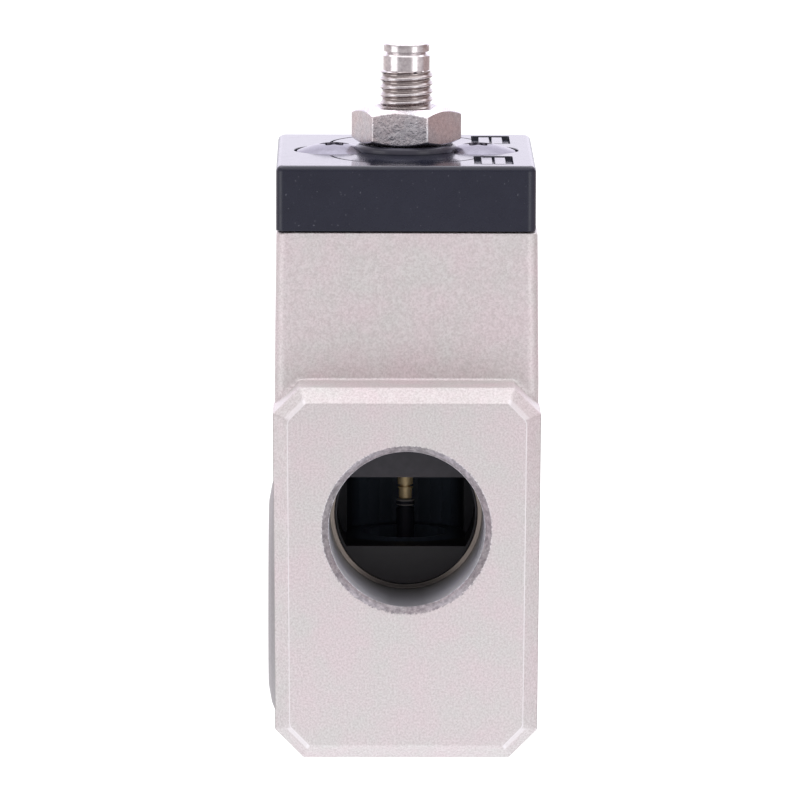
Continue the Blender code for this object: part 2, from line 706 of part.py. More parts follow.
def obround_band_mesh(foot, top):
    """A closed band that follows an obround of two arcs, joined where they cross."""
    radius = COVER_GROOVE_RADIUS
    centre = COVER_GROOVE_CENTRE
    width = COVER_GROOVE_WIDTH
    steps = 20
    loops = []
    for grow in (0.0, width):
        front = arc(radius + grow, math.pi, math.tau, steps)
        back = arc(radius + grow, 0.0, math.pi, steps)
        loop = [(x, y - centre) for x, y in front] + [(x, y + centre) for x, y in back]
        loops.append(loop)
    band = bmesh.new()
    rings = []
    for level in (foot, top):
        for loop in loops:
            rings.append([band.verts.new((x, y, level)) for x, y in loop])
    inner_low, outer_low, inner_high, outer_high = rings
    count = len(inner_low)
    for index in range(count):
        after = (index + 1) % count
        band.faces.new((inner_low[index], inner_low[after], outer_low[after], outer_low[index]))
        band.faces.new((inner_high[index], outer_high[index], outer_high[after], inner_high[after]))
        band.faces.new((inner_low[index], inner_high[index], inner_high[after], inner_low[after]))
        band.faces.new((outer_low[index], outer_low[after], outer_high[after], outer_high[index]))
    return band


def build_top_cover():
    """The black cover: bushing seat in the middle, screw pockets, windows and groove."""
    block = rounded_block_mesh(
        COVER_WIDTH, COVER_DEPTH, COVER_FOOT, COVER_TOP, COVER_CORNER_RADIUS, COVER_TOP_RADIUS
    )
    cover = make_object("top_cover", block, MATERIALS["cover"])
    groove = obround_band_mesh(COVER_TOP - COVER_GROOVE_DEPTH, COVER_TOP + CUT_OVERRUN)
    combine(cover, "DIFFERENCE", "cut_cover_groove", groove)
    for side, word in ((-1, "left"), (1, "right")):
        x = side * SCREW_SPACING / 2
        pocket = SCREW_HEAD_DIAMETER / 2 + SCREW_POCKET_GAP
        hole = SCREW_DIAMETER / 2 + SEAT_GAP
        floor = COVER_TOP - SCREW_POCKET_DEPTH
        profile = [
            (0.0, COVER_FOOT - CUT_OVERRUN),
            (hole, COVER_FOOT - CUT_OVERRUN),
            (hole, floor),
            (pocket, floor),
            (pocket, COVER_TOP + CUT_OVERRUN),
            (0.0, COVER_TOP + CUT_OVERRUN),
        ]
        pocket_cutter = shift(turned_mesh(profile, PIECE_SIDES), x=x)
        combine(cover, "DIFFERENCE", "cut_screw_pocket_" + word, pocket_cutter)
    for side, word in ((-1, "front"), (1, "rear")):
        low_x = COVER_WINDOW_OFFSET_X - COVER_WINDOW_WIDTH / 2
        middle_y = side * COVER_WINDOW_OFFSET_Y
        window = box_mesh(
            (low_x, middle_y - COVER_WINDOW_LENGTH / 2, COVER_TOP - COVER_WINDOW_DEPTH),
            (low_x + COVER_WINDOW_WIDTH, middle_y + COVER_WINDOW_LENGTH / 2, COVER_TOP + CUT_OVERRUN),
        )
        combine(cover, "DIFFERENCE", "cut_cover_window_" + word, window)
    gasket_pocket = rounded_block_mesh(
        COVER_WIDTH - 2 * (GASKET_INSET - SEAT_GAP),
        COVER_DEPTH - 2 * (GASKET_INSET - SEAT_GAP),
        COVER_FOOT - CUT_OVERRUN,
        GASKET_TOP + SEAT_GAP,
        COVER_CORNER_RADIUS,
        0.0,
    )
    combine(cover, "DIFFERENCE", "cut_gasket_pocket", gasket_pocket)
    seal_cavity = SPINDLE_HOLE_RADIUS + SPINDLE_SEAL_WIDTH + SEAT_GAP
    bushing_cavity = BUSHING_DIAMETER / 2 + SEAT_GAP
    lip = SPINDLE_HOLE_RADIUS + SEAT_GAP
    bushing_profile = [
        (0.0, COVER_FOOT - CUT_OVERRUN),
        (seal_cavity, COVER_FOOT - CUT_OVERRUN),
        (seal_cavity, BUSHING_CAVITY_FOOT),
        (bushing_cavity, BUSHING_CAVITY_FOOT),
        (bushing_cavity, BUSHING_CAVITY_TOP),
        (lip, BUSHING_CAVITY_TOP),
        (lip, COVER_TOP + CUT_OVERRUN),
        (0.0, COVER_TOP + CUT_OVERRUN),
    ]
    combine(cover, "DIFFERENCE", "cut_bushing_seat", turned_mesh(bushing_profile, PIECE_SIDES))
    return cover


def build_cover_gasket():
    """Flat gasket between housing and cover, open at the spindle and the screws."""
    sheet = rounded_block_mesh(
        COVER_WIDTH - 2 * GASKET_INSET,
        COVER_DEPTH - 2 * GASKET_INSET,
        COVER_FOOT,
        GASKET_TOP,
        COVER_CORNER_RADIUS,
        0.0,
    )
    gasket = make_object("cover_gasket", sheet, MATERIALS["rubber"])
    low = COVER_FOOT - CUT_OVERRUN
    high = GASKET_TOP + CUT_OVERRUN
    spindle_hole = drilled_mesh(2 * SPINDLE_HOLE_RADIUS + SEAT_GAP, low, high)
    combine(gasket, "DIFFERENCE", "cut_gasket_spindle_hole", spindle_hole)
    for side, word in ((-1, "left"), (1, "right")):
        hole = drilled_mesh(
            SCREW_DIAMETER + 2 * SEAT_GAP, low, high, x=side * SCREW_SPACING / 2
        )
        combine(gasket, "DIFFERENCE", "cut_gasket_hole_" + word, hole)
    return gasket


def build_cover_screw(side, word):
    """A domed screw with a six-lobe socket."""
    foot = screw_head_foot()
    rim_top = foot + SCREW_HEAD_RIM
    head_radius = SCREW_HEAD_DIAMETER / 2
    dome_rise = SCREW_HEAD_HEIGHT - SCREW_HEAD_RIM
    dome_steps = 7
    shank = SCREW_DIAMETER / 2
    tip = screw_tip_level()
    profile = [(0.0, tip), (shank - SEAT_GAP, tip), (shank, tip + 2 * SEAT_GAP)]
    profile += [(shank, foot), (head_radius, foot)]
    for step in range(dome_steps + 1):
        share = 1 - step / dome_steps
        profile.append((head_radius * share, rim_top + dome_rise * (1 - share * share)))
    screw_mesh = shift(turned_mesh(profile, PIECE_SIDES), x=side * SCREW_SPACING / 2)
    screw = make_object("cover_screw_" + word, screw_mesh, MATERIALS["black_steel"])
    top = foot + SCREW_HEAD_HEIGHT
    sides = 36
    outline = []
    for index in range(sides):
        angle = math.tau * index / sides
        radius = SCREW_SOCKET_RADIUS + SCREW_SOCKET_LOBE * math.cos(6 * angle)
        outline.append((radius * math.cos(angle), radius * math.sin(angle)))
    socket = prism_mesh(outline, top - SCREW_SOCKET_DEPTH, top + CUT_OVERRUN)
    shift(socket, x=side * SCREW_SPACING / 2)
    combine(screw, "DIFFERENCE", "cut_screw_socket_" + word, socket)
    return screw


def build_spindle_bushing():
    """Brass insert that carries the spindle's thread, with two grip grooves."""
    inner = SPINDLE_HOLE_RADIUS
    outer = BUSHING_DIAMETER / 2
    top = BUSHING_FOOT + BUSHING_LENGTH
    profile = [(inner, BUSHING_FOOT), (outer, BUSHING_FOOT)]
    for share in (1 / 3, 2 / 3):
        middle = BUSHING_FOOT + BUSHING_LENGTH * share
        low = middle - BUSHING_GROOVE_WIDTH / 2
        high = middle + BUSHING_GROOVE_WIDTH / 2
        depth = outer - BUSHING_GROOVE_DEPTH
        profile += [(outer, low), (depth, low), (depth, high), (outer, high)]
    profile += [(outer, top), (inner, top)]
    return make_object("spindle_bushing", turned_mesh(profile, PIECE_SIDES), MATERIALS["brass"])


def seal_mesh(inner, outer, foot, top):
    """A sealing ring with a rounded section that fills its groove."""
    middle_radius = (inner + outer) / 2
    middle_level = (foot + top) / 2
    corners = 8
    profile = []
    for index in range(corners):
        angle = math.tau * (index + 0.5) / corners
        stretch = 1 / math.cos(math.pi / corners)
        radius = middle_radius + (outer - inner) / 2 * stretch * math.cos(angle)
        level = middle_level + (top - foot) / 2 * stretch * math.sin(angle)
        profile.append((radius, level))
    return turned_mesh(profile, SEAL_SIDES)


def build_seal(name, inner, outer, foot, top):
    """A rubber ring on the valve axis."""
    return make_object(name, seal_mesh(inner, outer, foot, top), MATERIALS["rubber"])


def build_throttle_seat():
    """Brass seat under the needle, with a countersunk bore."""
    bore = THROTTLE_BORE_DIAMETER / 2
    outer = THROTTLE_SEAT_HOLE_DIAMETER / 2 - SEAT_GAP
    foot = THROTTLE_SEAT_FOOT + SEAT_GAP
    top = THROTTLE_FLOOR - SEAT_GAP
    countersink = (outer - bore) / 2
    profile = [
        (bore, foot),
        (outer, foot),
        (outer, top),
        (bore + countersink, top),
        (bore, top - countersink),
    ]
    return make_object("throttle_seat", turned_mesh(profile, PIECE_SIDES), MATERIALS["brass"])


def stop_groove_levels():
    """Foot and top of the spindle's groove for its stop ring."""
    top = HOUSING_HEIGHT - SPINDLE_TRAVEL + RUNNING_GAP
    return top - STOP_GROOVE_WIDTH, top


def build_adjusting_spindle():
    """Threaded spindle with a throttle needle below and a hex socket on top."""
    needle = NEEDLE_DIAMETER / 2
    tip = NEEDLE_TIP_DIAMETER / 2
    tip_level = THROTTLE_SEAT_FOOT + NEEDLE_TIP_LEVEL
    groove = STOP_GROOVE_DIAMETER / 2
    groove_foot, groove_top = stop_groove_levels()
    collar_foot = groove_foot - STOP_GROOVE_WIDTH
    collar = SPINDLE_RADIUS - SPINDLE_GROOVE_DEPTH
    neck = SPINDLE_NECK_DIAMETER / 2
    neck_foot = SPINDLE_TOP - SPINDLE_NECK_LENGTH
    ring_foot = SPINDLE_TOP - SPINDLE_TOP_LENGTH
    slot_foot = ring_foot - SPINDLE_GROOVE_WIDTH
    slot_level = ring_foot - SPINDLE_GROOVE_WIDTH / 5
    profile = [
        (0.0, tip_level),
        (tip, tip_level),
        (needle, tip_level + NEEDLE_TAPER_LENGTH),
        (needle, collar_foot - (collar - needle)),
        (collar, collar_foot),
        (collar, groove_foot),
        (groove, groove_foot),
        (groove, groove_top),
        (SPINDLE_RADIUS, groove_top),
        (SPINDLE_RADIUS, neck_foot - (SPINDLE_RADIUS - neck)),
        (neck, neck_foot),
        (neck, slot_foot),
        (neck - SPINDLE_GROOVE_DEPTH, slot_level),
        (neck, ring_foot),
        (neck, SPINDLE_TOP - SPINDLE_TOP_CHAMFER),
        (neck - SPINDLE_TOP_CHAMFER, SPINDLE_TOP),
        (0.0, SPINDLE_TOP),
    ]
    spindle = make_object(
        "adjusting_spindle", turned_mesh(profile, PIECE_SIDES), MATERIALS["plated_steel"]
    )
    hexagon = polygon(SPINDLE_SOCKET / math.sqrt(3), 6)
    socket = prism_mesh(hexagon, SPINDLE_TOP - SPINDLE_SOCKET_DEPTH, SPINDLE_TOP + CUT_OVERRUN)
    combine(spindle, "DIFFERENCE", "cut_spindle_socket", socket)
    return spindle


def build_spindle_stop_ring():
    """Open ring in the spindle's groove, which stops it from being wound out."""
    groove_foot, groove_top = stop_groove_levels()
    outline = open_ring_outline(
        STOP_GROOVE_DIAMETER / 2 + RUNNING_GAP, STOP_RING_DIAMETER / 2, STOP_RING_OPENING
    )
    ring = prism_mesh(outline, groove_foot + RUNNING_GAP, groove_top - RUNNING_GAP)
    return make_object("spindle_stop_ring", ring, MATERIALS["spring_steel"])


def build_lock_nut():
    """Hexagon nut with both ends chamfered, drilled to clear the spindle's thread."""
    corner_radius = NUT_WIDTH / math.sqrt(3)
    face_radius = NUT_WIDTH / 2 - NUT_FACE_INSET
    drop = NUT_CHAMFER
    top = NUT_FOOT + NUT_HEIGHT
    outline = polygon(corner_radius, 6, math.radians(NUT_TURN))
    nut = make_object("lock_nut", prism_mesh(outline, NUT_FOOT, top), MATERIALS["plated_steel"])
    wide = corner_radius + CUT_OVERRUN
    slope = drop / (corner_radius - face_radius)
    reach = (wide - face_radius) * slope
    lens = [
        (0.0, NUT_FOOT - CUT_OVERRUN),
        (face_radius - CUT_OVERRUN / slope, NUT_FOOT - CUT_OVERRUN),
        (wide, NUT_FOOT + reach),
        (wide, top - reach),
        (face_radius - CUT_OVERRUN / slope, top + CUT_OVERRUN),
        (0.0, top + CUT_OVERRUN),
    ]
    combine(nut, "INTERSECT", "keep_nut_chamfer", turned_mesh(lens, PIECE_SIDES))
    sink = CUT_OVERRUN / 2
    bore = [
        (0.0, NUT_FOOT - CUT_OVERRUN),
        (SPINDLE_HOLE_RADIUS + sink + CUT_OVERRUN, NUT_FOOT - CUT_OVERRUN),
        (SPINDLE_HOLE_RADIUS, NUT_FOOT + sink),
        (SPINDLE_HOLE_RADIUS, top - sink),
        (SPINDLE_HOLE_RADIUS + sink + CUT_OVERRUN, top + CUT_OVERRUN),
        (0.0, top + CUT_OVERRUN),
    ]
    combine(nut, "DIFFERENCE", "cut_nut_bore", turned_mesh(bore, PIECE_SIDES))
    return nut


def cage_seal_levels():
    """Foot levels of the cage's upper and lower sealing rings."""
    return WINDOW_TOP + CAGE_UPPER_SEAL_RISE, WINDOW_FOOT - CAGE_LOWER_SEAL_DROP


def build_valve_cage():
    """Black insert that carries the seat and the stem guide and divides the chambers."""
    upper_seal, lower_seal = cage_seal_levels()
    groove = CAGE_RADIUS - CAGE_SEAL_GROOVE
    seal_room = CAGE_SEAL_HEIGHT + 2 * SEAT_GAP
    seat_bore = CAGE_SEAT_BORE / 2
    flange_foot = WINDOW_FOOT - CAGE_SEAT_FLANGE
    guide = GUIDE_HOLE_DIAMETER / 2
    profile = [
        (CAGE_INNER_RADIUS, CAGE_FOOT),
        (CAGE_RADIUS, CAGE_FOOT),
        (CAGE_RADIUS, lower_seal - SEAT_GAP),
        (groove, lower_seal - SEAT_GAP),
        (groove, lower_seal - SEAT_GAP + seal_room),
        (CAGE_RADIUS, lower_seal - SEAT_GAP + seal_room),
        (CAGE_RADIUS, upper_seal - SEAT_GAP),
        (groove, upper_seal - SEAT_GAP),
        (groove, upper_seal - SEAT_GAP + seal_room),
        (CAGE_RADIUS, upper_seal - SEAT_GAP + seal_room),
        (CAGE_RADIUS, CAGE_TOP),
        (guide, CAGE_TOP),
        (guide, WINDOW_TOP + GUIDE_LEDGE),
        (GUIDE_LEDGE_DIAMETER / 2, WINDOW_TOP + GUIDE_LEDGE),
        (GUIDE_LEDGE_DIAMETER / 2, WINDOW_TOP),
        (CAGE_INNER_RADIUS, WINDOW_TOP),
        (CAGE_INNER_RADIUS, WINDOW_FOOT),
        (seat_bore, WINDOW_FOOT),
        (seat_bore, flange_foot),
        (CAGE_INNER_RADIUS, flange_foot),
    ]
    cage = make_object("valve_cage", turned_mesh(profile, BORE_SIDES), MATERIALS["insert"])
    outlet_window = box_mesh(
        (-MAIN_RADIUS, -MAIN_RADIUS, WINDOW_FOOT),
        (MAIN_RADIUS, -CAGE_BACK_WALL_START, WINDOW_TOP),
    )
    combine(cage, "DIFFERENCE", "cut_cage_outlet_window", outlet_window)
    half_width = CAGE_LOWER_WINDOW_WIDTH / 2
    low = CAGE_FOOT + CAGE_LOWER_RIM
    high = INLET_CHAMBER_ROOF
    across = box_mesh((-MAIN_RADIUS, -half_width, low), (MAIN_RADIUS, half_width, high))
    along = box_mesh((-half_width, -MAIN_RADIUS, low), (half_width, MAIN_RADIUS, high))
    combine(cage, "DIFFERENCE", "cut_cage_windows_across", across)
    combine(cage, "DIFFERENCE", "cut_cage_windows_along", along)
    return cage


def build_stem_guide():
    """Brass guide for the stem, with room for its seal at the top."""
    bore = STEM_DIAMETER / 2 + RUNNING_GAP
    outer = GUIDE_HOLE_DIAMETER / 2 - SEAT_GAP
    foot = WINDOW_TOP + GUIDE_LEDGE + SEAT_GAP
    top = CAGE_TOP - SEAT_GAP
    seal_room = bore + STEM_SEAL_WIDTH + SEAT_GAP
    seal_floor = top - STEM_SEAL_HEIGHT - SEAT_GAP
    profile = [
        (bore, foot),
        (outer, foot),
        (outer, top),
        (seal_room, top),
        (seal_room, seal_floor),
        (bore, seal_floor),
    ]
    return make_object("stem_guide", turned_mesh(profile, SMALL_SIDES), MATERIALS["brass"])


def build_valve_seat():
    """Seat ring under the cage's flange, with a raised sealing edge below."""
    inner = CAGE_SEAT_BORE / 2 + SEAT_GAP
    outer = min(inner + SEAT_RING_WIDTH, CAGE_INNER_RADIUS - SEAT_GAP)
    top = POPPET_SEAT_FOOT + SEAT_RING_HEIGHT
    lip = SEAT_RING_HEIGHT / 4
    profile = [
        (inner, POPPET_SEAT_FOOT),
        (inner + lip, POPPET_SEAT_FOOT),
        (inner + 2 * lip, POPPET_SEAT_FOOT + lip),
        (outer, POPPET_SEAT_FOOT + lip),
        (outer, top),
        (inner, top),
    ]
    return make_object("valve_seat", turned_mesh(profile, PIECE_SIDES), MATERIALS["brass"])


def build_poppet():
    """Poppet with a guide stem below and a slim stem up to the piston's stem."""
    guide = POPPET_GUIDE_DIAMETER / 2
    outer = POPPET_DIAMETER / 2
    facing_inner = outer - POPPET_FACING_WIDTH - SEAT_GAP
    shelf = POPPET_TOP - POPPET_FACING_HEIGHT - SEAT_GAP
    hub = POPPET_HUB_DIAMETER / 2
    stem = POPPET_STEM_DIAMETER / 2
    groove = stem - STEM_GROOVE_DEPTH
    collar = 2 * STEM_GROOVE_WIDTH
    profile = [
        (0.0, POPPET_GUIDE_FOOT),
        (guide, POPPET_GUIDE_FOOT),
        (guide, POPPET_FOOT),
        (outer, POPPET_FOOT),
        (outer, shelf),
        (facing_inner, shelf),
        (facing_inner, POPPET_TOP),
        (hub, POPPET_TOP),
        (stem, POPPET_TOP + POPPET_HUB_RISE),
        (stem, POPPET_STEM_END - collar - STEM_GROOVE_WIDTH),
        (groove, POPPET_STEM_END - collar - STEM_GROOVE_WIDTH),
        (groove, POPPET_STEM_END - collar),
        (stem, POPPET_STEM_END - collar),
        (stem, POPPET_STEM_END),
        (0.0, POPPET_STEM_END),
    ]
    return make_object("poppet", turned_mesh(profile, PIECE_SIDES), MATERIALS["insert"])


def build_poppet_facing():
    """Rubber ring on the poppet that closes on the seat."""
    outer = POPPET_DIAMETER / 2
    inner = outer - POPPET_FACING_WIDTH
    foot = POPPET_TOP - POPPET_FACING_HEIGHT
    profile = [(inner, foot), (outer, foot), (outer, POPPET_TOP), (inner, POPPET_TOP)]
    return make_object("poppet_facing", turned_mesh(profile, PIECE_SIDES), MATERIALS["rubber"])


def stem_clip_foot():
    """Level of the clip that holds the piston on its stem."""
    return PISTON_TOP + SEAT_GAP


def build_piston_stem():
    """Brass stem from the poppet up through its guide, with the collar under the piston."""
    radius = STEM_DIAMETER / 2
    tip = STEM_TIP_DIAMETER / 2
    tip_top = STEM_FOOT + STEM_TIP_LENGTH
    groove_foot = tip_top + STEM_RIM_WIDTH
    groove_top = groove_foot + STEM_GROOVE_WIDTH
    collar = STEM_COLLAR_DIAMETER / 2
    collar_top = PISTON_TOP - PISTON_CROWN - SEAT_GAP
    end = STEM_END_DIAMETER / 2
    clip_groove = STEM_CLIP_GROOVE_DIAMETER / 2
    clip_foot = stem_clip_foot() - SEAT_GAP / 2
    clip_top = stem_clip_foot() + STEM_CLIP_THICKNESS + SEAT_GAP
    profile = [
        (0.0, STEM_FOOT),
        (tip, STEM_FOOT),
        (tip, tip_top),
        (radius, tip_top),
        (radius, groove_foot),
        (tip - STEM_GROOVE_DEPTH, groove_foot),
        (tip - STEM_GROOVE_DEPTH, groove_top),
        (radius, groove_top),
        (radius, collar_top - STEM_COLLAR_LENGTH),
        (collar, collar_top - STEM_COLLAR_LENGTH),
        (collar, collar_top),
        (end, collar_top),
        (end, clip_foot),
        (clip_groove, clip_foot),
        (clip_groove, clip_top),
        (end, clip_top),
        (end, PISTON_TOP + STEM_END_LENGTH),
        (0.0, PISTON_TOP + STEM_END_LENGTH),
    ]
    return make_object("piston_stem", turned_mesh(profile, SMALL_SIDES), MATERIALS["brass"])


def build_piston_clip():
    """Open ring that keeps the piston on its stem."""
    outline = open_ring_outline(
        STEM_CLIP_GROOVE_DIAMETER / 2 + SEAT_GAP, STEM_CLIP_DIAMETER / 2, STOP_RING_OPENING
    )
    foot = stem_clip_foot()
    clip = prism_mesh(outline, foot, foot + STEM_CLIP_THICKNESS)
    return make_object("piston_clip", clip, MATERIALS["spring_steel"])


def build_piston():
    """Cup-shaped piston with a groove for its lip seal."""
    bore = STEM_END_DIAMETER / 2 + SEAT_GAP
    outer = PISTON_BORE_RADIUS - RUNNING_GAP
    inner = outer - PISTON_SKIRT
    crown_foot = PISTON_TOP - PISTON_CROWN
    groove = outer - PISTON_SEAL_GROOVE
    seal_foot = PISTON_FOOT + PISTON_SEAL_RISE
    seal_top = seal_foot + PISTON_SEAL_HEIGHT + 2 * SEAT_GAP
    profile = [
        (bore, crown_foot),
        (inner, crown_foot),
        (inner, PISTON_FOOT),
        (outer, PISTON_FOOT),
        (outer, seal_foot),
        (groove, seal_foot),
        (groove, seal_top),
        (outer, seal_top),
        (outer, PISTON_TOP),
        (bore, PISTON_TOP),
    ]
    return make_object("piston", turned_mesh(profile, PIECE_SIDES), MATERIALS["aluminium"])


def build_piston_seal():
    """Lip seal in the piston's groove, nearly touching its bore."""
    outer = PISTON_BORE_RADIUS - PISTON_SEAL_GAP
    inner = PISTON_BORE_RADIUS - RUNNING_GAP - PISTON_SEAL_GROOVE + SEAT_GAP
    foot = PISTON_FOOT + PISTON_SEAL_RISE + SEAT_GAP
    top = foot + PISTON_SEAL_HEIGHT
    lip = PISTON_SEAL_HEIGHT / 4
    waist = (inner + outer) / 2
    profile = [
        (inner, foot),
        (waist, foot),
        (outer, foot + lip),
        (outer, top - lip),
        (waist + lip, top),
        (waist, top - lip),
        (inner, top),
    ]
    return make_object("piston_seal", turned_mesh(profile, PIECE_SIDES), MATERIALS["rubber"])


def plug_levels():
    """Foot, flange top and spigot top of the bottom plug."""
    foot = MOUTH_DEPTH - SEAT_GAP - PLUG_FLANGE
    return foot, MOUTH_DEPTH - SEAT_GAP, PLUG_TOP


def plug_seal_foot():
    """Foot level of the bottom plug's sealing ring."""
    _, flange_top, top = plug_levels()
    return (flange_top + top - PLUG_SEAL_HEIGHT) / 2


def build_bottom_plug():
    """Plug that closes the main bore, with a tower that guides the poppet."""
    foot, flange_top, top = plug_levels()
    flange = MAIN_RADIUS + MOUTH_STEP - SEAT_GAP
    spigot = MAIN_RADIUS - SEAT_GAP
    groove = spigot - PLUG_SEAL_GROOVE
    seal_foot = plug_seal_foot() - SEAT_GAP
    seal_top = seal_foot + PLUG_SEAL_HEIGHT + 2 * SEAT_GAP
    tower = PLUG_TOWER_DIAMETER / 2
    guide = POPPET_GUIDE_DIAMETER / 2 + RUNNING_GAP
    guide_floor = POPPET_GUIDE_FOOT - VALVE_STROKE - PLUG_GUIDE_CLEARANCE
    recess = PLUG_RECESS_DIAMETER / 2
    profile = [
        (0.0, foot + PLUG_RECESS_DEPTH),
        (recess, foot + PLUG_RECESS_DEPTH),
        (recess, foot),
        (flange, foot),
        (flange, flange_top),
        (spigot, flange_top),
        (spigot, seal_foot),
        (groove, seal_foot),
        (groove, seal_top),
        (spigot, seal_top),
        (spigot, top),
        (tower, top),
        (tower, PLUG_TOWER_TOP),
        (guide, PLUG_TOWER_TOP),
        (guide, guide_floor),
        (0.0, guide_floor),
    ]
    return make_object("bottom_plug", turned_mesh(profile, PIECE_SIDES), MATERIALS["insert"])


def build_retaining_ring():
    """Spring ring that holds the bottom plug in the housing's groove."""
    outer = MAIN_RADIUS + MOUTH_STEP + RING_GROOVE_DEPTH - SEAT_GAP
    outline = open_ring_outline(outer - RETAINING_RING_WIDTH, outer, RETAINING_RING_OPENING, 36)
    ring = prism_mesh(
        outline,
        RING_GROOVE_LEVEL + SEAT_GAP,
        RING_GROOVE_LEVEL + RING_GROOVE_HEIGHT - SEAT_GAP,
    )
    return make_object("retaining_ring", ring, MATERIALS["spring_steel"])


def build_poppet_spring():
    """Coil spring between the bottom plug and the poppet."""
    wire = SPRING_WIRE / 2
    radius = SPRING_DIAMETER / 2
    foot = PLUG_TOP + SEAT_GAP + wire
    top = POPPET_FOOT - SEAT_GAP - wire
    steps_per_turn = 18
    steps = SPRING_TURNS * steps_per_turn
    curve = bpy.data.curves.new("poppet_spring", "CURVE")
    curve.dimensions = "3D"
    curve.bevel_depth = wire
    curve.bevel_resolution = 1
    curve.use_fill_caps = True
    spline = curve.splines.new("POLY")
    spline.points.add(steps)
    for step, point in enumerate(spline.points):
        angle = math.tau * step / steps_per_turn
        level = foot + (top - foot) * step / steps
        point.co = (radius * math.cos(angle), radius * math.sin(angle), level, 1.0)
    curve.materials.append(MATERIALS["spring_steel"])
    spring = bpy.data.objects.new("poppet_spring", curve)
    bpy.context.scene.collection.objects.link(spring)
    return spring


def gauge_seal_radii():
    """Inner and outer radius of the ring under the gauge plug's collar."""
    inner = GAUGE_HOLE_DIAMETER / 2 + SEAT_GAP
    return inner, inner + GAUGE_SEAL_WIDTH


def build_gauge_plug():
    """Plug in the gauge port: a collar with an undercut for its seal, and a hex socket."""
    face = PAD_FACE - SEAT_GAP
    collar_foot = PAD_FACE - GAUGE_SPOTFACE_DEPTH + SEAT_GAP
    collar = GAUGE_SPOTFACE_DIAMETER / 2 - SEAT_GAP
    shank = GAUGE_HOLE_DIAMETER / 2 - SEAT_GAP
    inner, outer = gauge_seal_radii()
    undercut = collar_foot + GAUGE_SEAL_WIDTH
    end = face - GAUGE_PLUG_LENGTH
    profile = [
        (0.0, end),
        (shank, end),
        (shank, undercut),
        (outer + SEAT_GAP, undercut),
        (outer + SEAT_GAP, collar_foot),
        (collar, collar_foot),
        (collar, face),
        (0.0, face),
    ]
    plug_mesh = shift(lay_along_minus_x(turned_mesh(profile, PIECE_SIDES)), z=PAD_HEIGHT)
    plug = make_object("gauge_plug", plug_mesh, MATERIALS["plated_steel"])
    hexagon = polygon(GAUGE_PLUG_SOCKET / math.sqrt(3), 6)
    socket = prism_mesh(hexagon, face - GAUGE_PLUG_SOCKET_DEPTH, face + CUT_OVERRUN)
    shift(lay_along_minus_x(socket), z=PAD_HEIGHT)
    combine(plug, "DIFFERENCE", "cut_gauge_plug_socket", socket)
    return plug


def build_gauge_plug_seal():
    """Sealing ring under the gauge plug's collar."""
    inner, outer = gauge_seal_radii()
    foot = PAD_FACE - GAUGE_SPOTFACE_DEPTH + SEAT_GAP
    ring = seal_mesh(inner, outer, foot, foot + GAUGE_SEAL_WIDTH - SEAT_GAP)
    shift(lay_along_minus_x(ring), z=PAD_HEIGHT)
    return make_object("gauge_plug_seal", ring, MATERIALS["rubber"])


def build_seals():
    """The rubber rings on the valve axis."""
    upper_seal, lower_seal = cage_seal_levels()
    cage_inner = CAGE_RADIUS - CAGE_SEAL_GROOVE + SEAT_GAP
    cage_outer = CAGE_RADIUS
    for name, foot in (("cage_seal_upper", upper_seal), ("cage_seal_lower", lower_seal)):
        build_seal(name, cage_inner, cage_outer, foot, foot + CAGE_SEAL_HEIGHT)
    plug_inner = MAIN_RADIUS - SEAT_GAP - PLUG_SEAL_GROOVE + SEAT_GAP
    plug_foot = plug_seal_foot()
    build_seal(
        "bottom_plug_seal", plug_inner, CAGE_RADIUS, plug_foot, plug_foot + PLUG_SEAL_HEIGHT
    )
    spindle_outer = SPINDLE_HOLE_RADIUS + SPINDLE_SEAL_WIDTH
    build_seal(
        "spindle_seal",
        SPINDLE_HOLE_RADIUS,
        spindle_outer,
        SEAL_CAVITY_FOOT,
        SEAL_CAVITY_FOOT + SPINDLE_SEAL_HEIGHT,
    )
    stem_inner = STEM_DIAMETER / 2 + RUNNING_GAP
    stem_top = CAGE_TOP - SEAT_GAP
    build_seal(
        "stem_seal", stem_inner, stem_inner + STEM_SEAL_WIDTH, stem_top - STEM_SEAL_HEIGHT, stem_top
    )
    nut_ring = NUT_RING_FOOT + NUT_RING_HEIGHT
    build_seal(
        "nut_seal_ring",
        SPINDLE_HOLE_RADIUS,
        SPINDLE_HOLE_RADIUS + NUT_RING_WIDTH,
        NUT_RING_FOOT,
        nut_ring,
    )


clear_scene()
MATERIALS = {
    "housing": make_material("housing", (0.62, 0.58, 0.55), 0.48, 0.85),
    "cover": make_material("cover", (0.030, 0.033, 0.045), 0.42, 0.0),
    "black_steel": make_material("black_steel", (0.02, 0.02, 0.022), 0.35, 0.4),
    "plated_steel": make_material("plated_steel", (0.66, 0.63, 0.62), 0.28, 1.0),
    "spring_steel": make_material("spring_steel", (0.35, 0.35, 0.36), 0.35, 1.0),
    "brass": make_material("brass", (0.72, 0.52, 0.26), 0.32, 1.0),
    "insert": make_material("insert", (0.02, 0.02, 0.022), 0.5, 0.0),
    "rubber": make_material("rubber", (0.012, 0.012, 0.013), 0.45, 0.0),
    "aluminium": make_material("aluminium", (0.74, 0.74, 0.75), 0.35, 1.0),
    "guide": make_material("guide", (0.8, 0.2, 0.2), 0.5, 0.0),
}
build_valve_body()
build_outlet_insert()
build_top_cover()
build_cover_gasket()
build_cover_screw(-1, "left")
build_cover_screw(1, "right")
build_spindle_bushing()
build_throttle_seat()
build_adjusting_spindle()
build_spindle_stop_ring()
build_lock_nut()
build_valve_cage()
build_stem_guide()
build_valve_seat()
build_poppet()
build_poppet_facing()
build_piston_stem()
build_piston_clip()
build_piston()
build_piston_seal()
build_bottom_plug()
build_retaining_ring()
build_poppet_spring()
build_gauge_plug()
build_gauge_plug_seal()
build_seals()
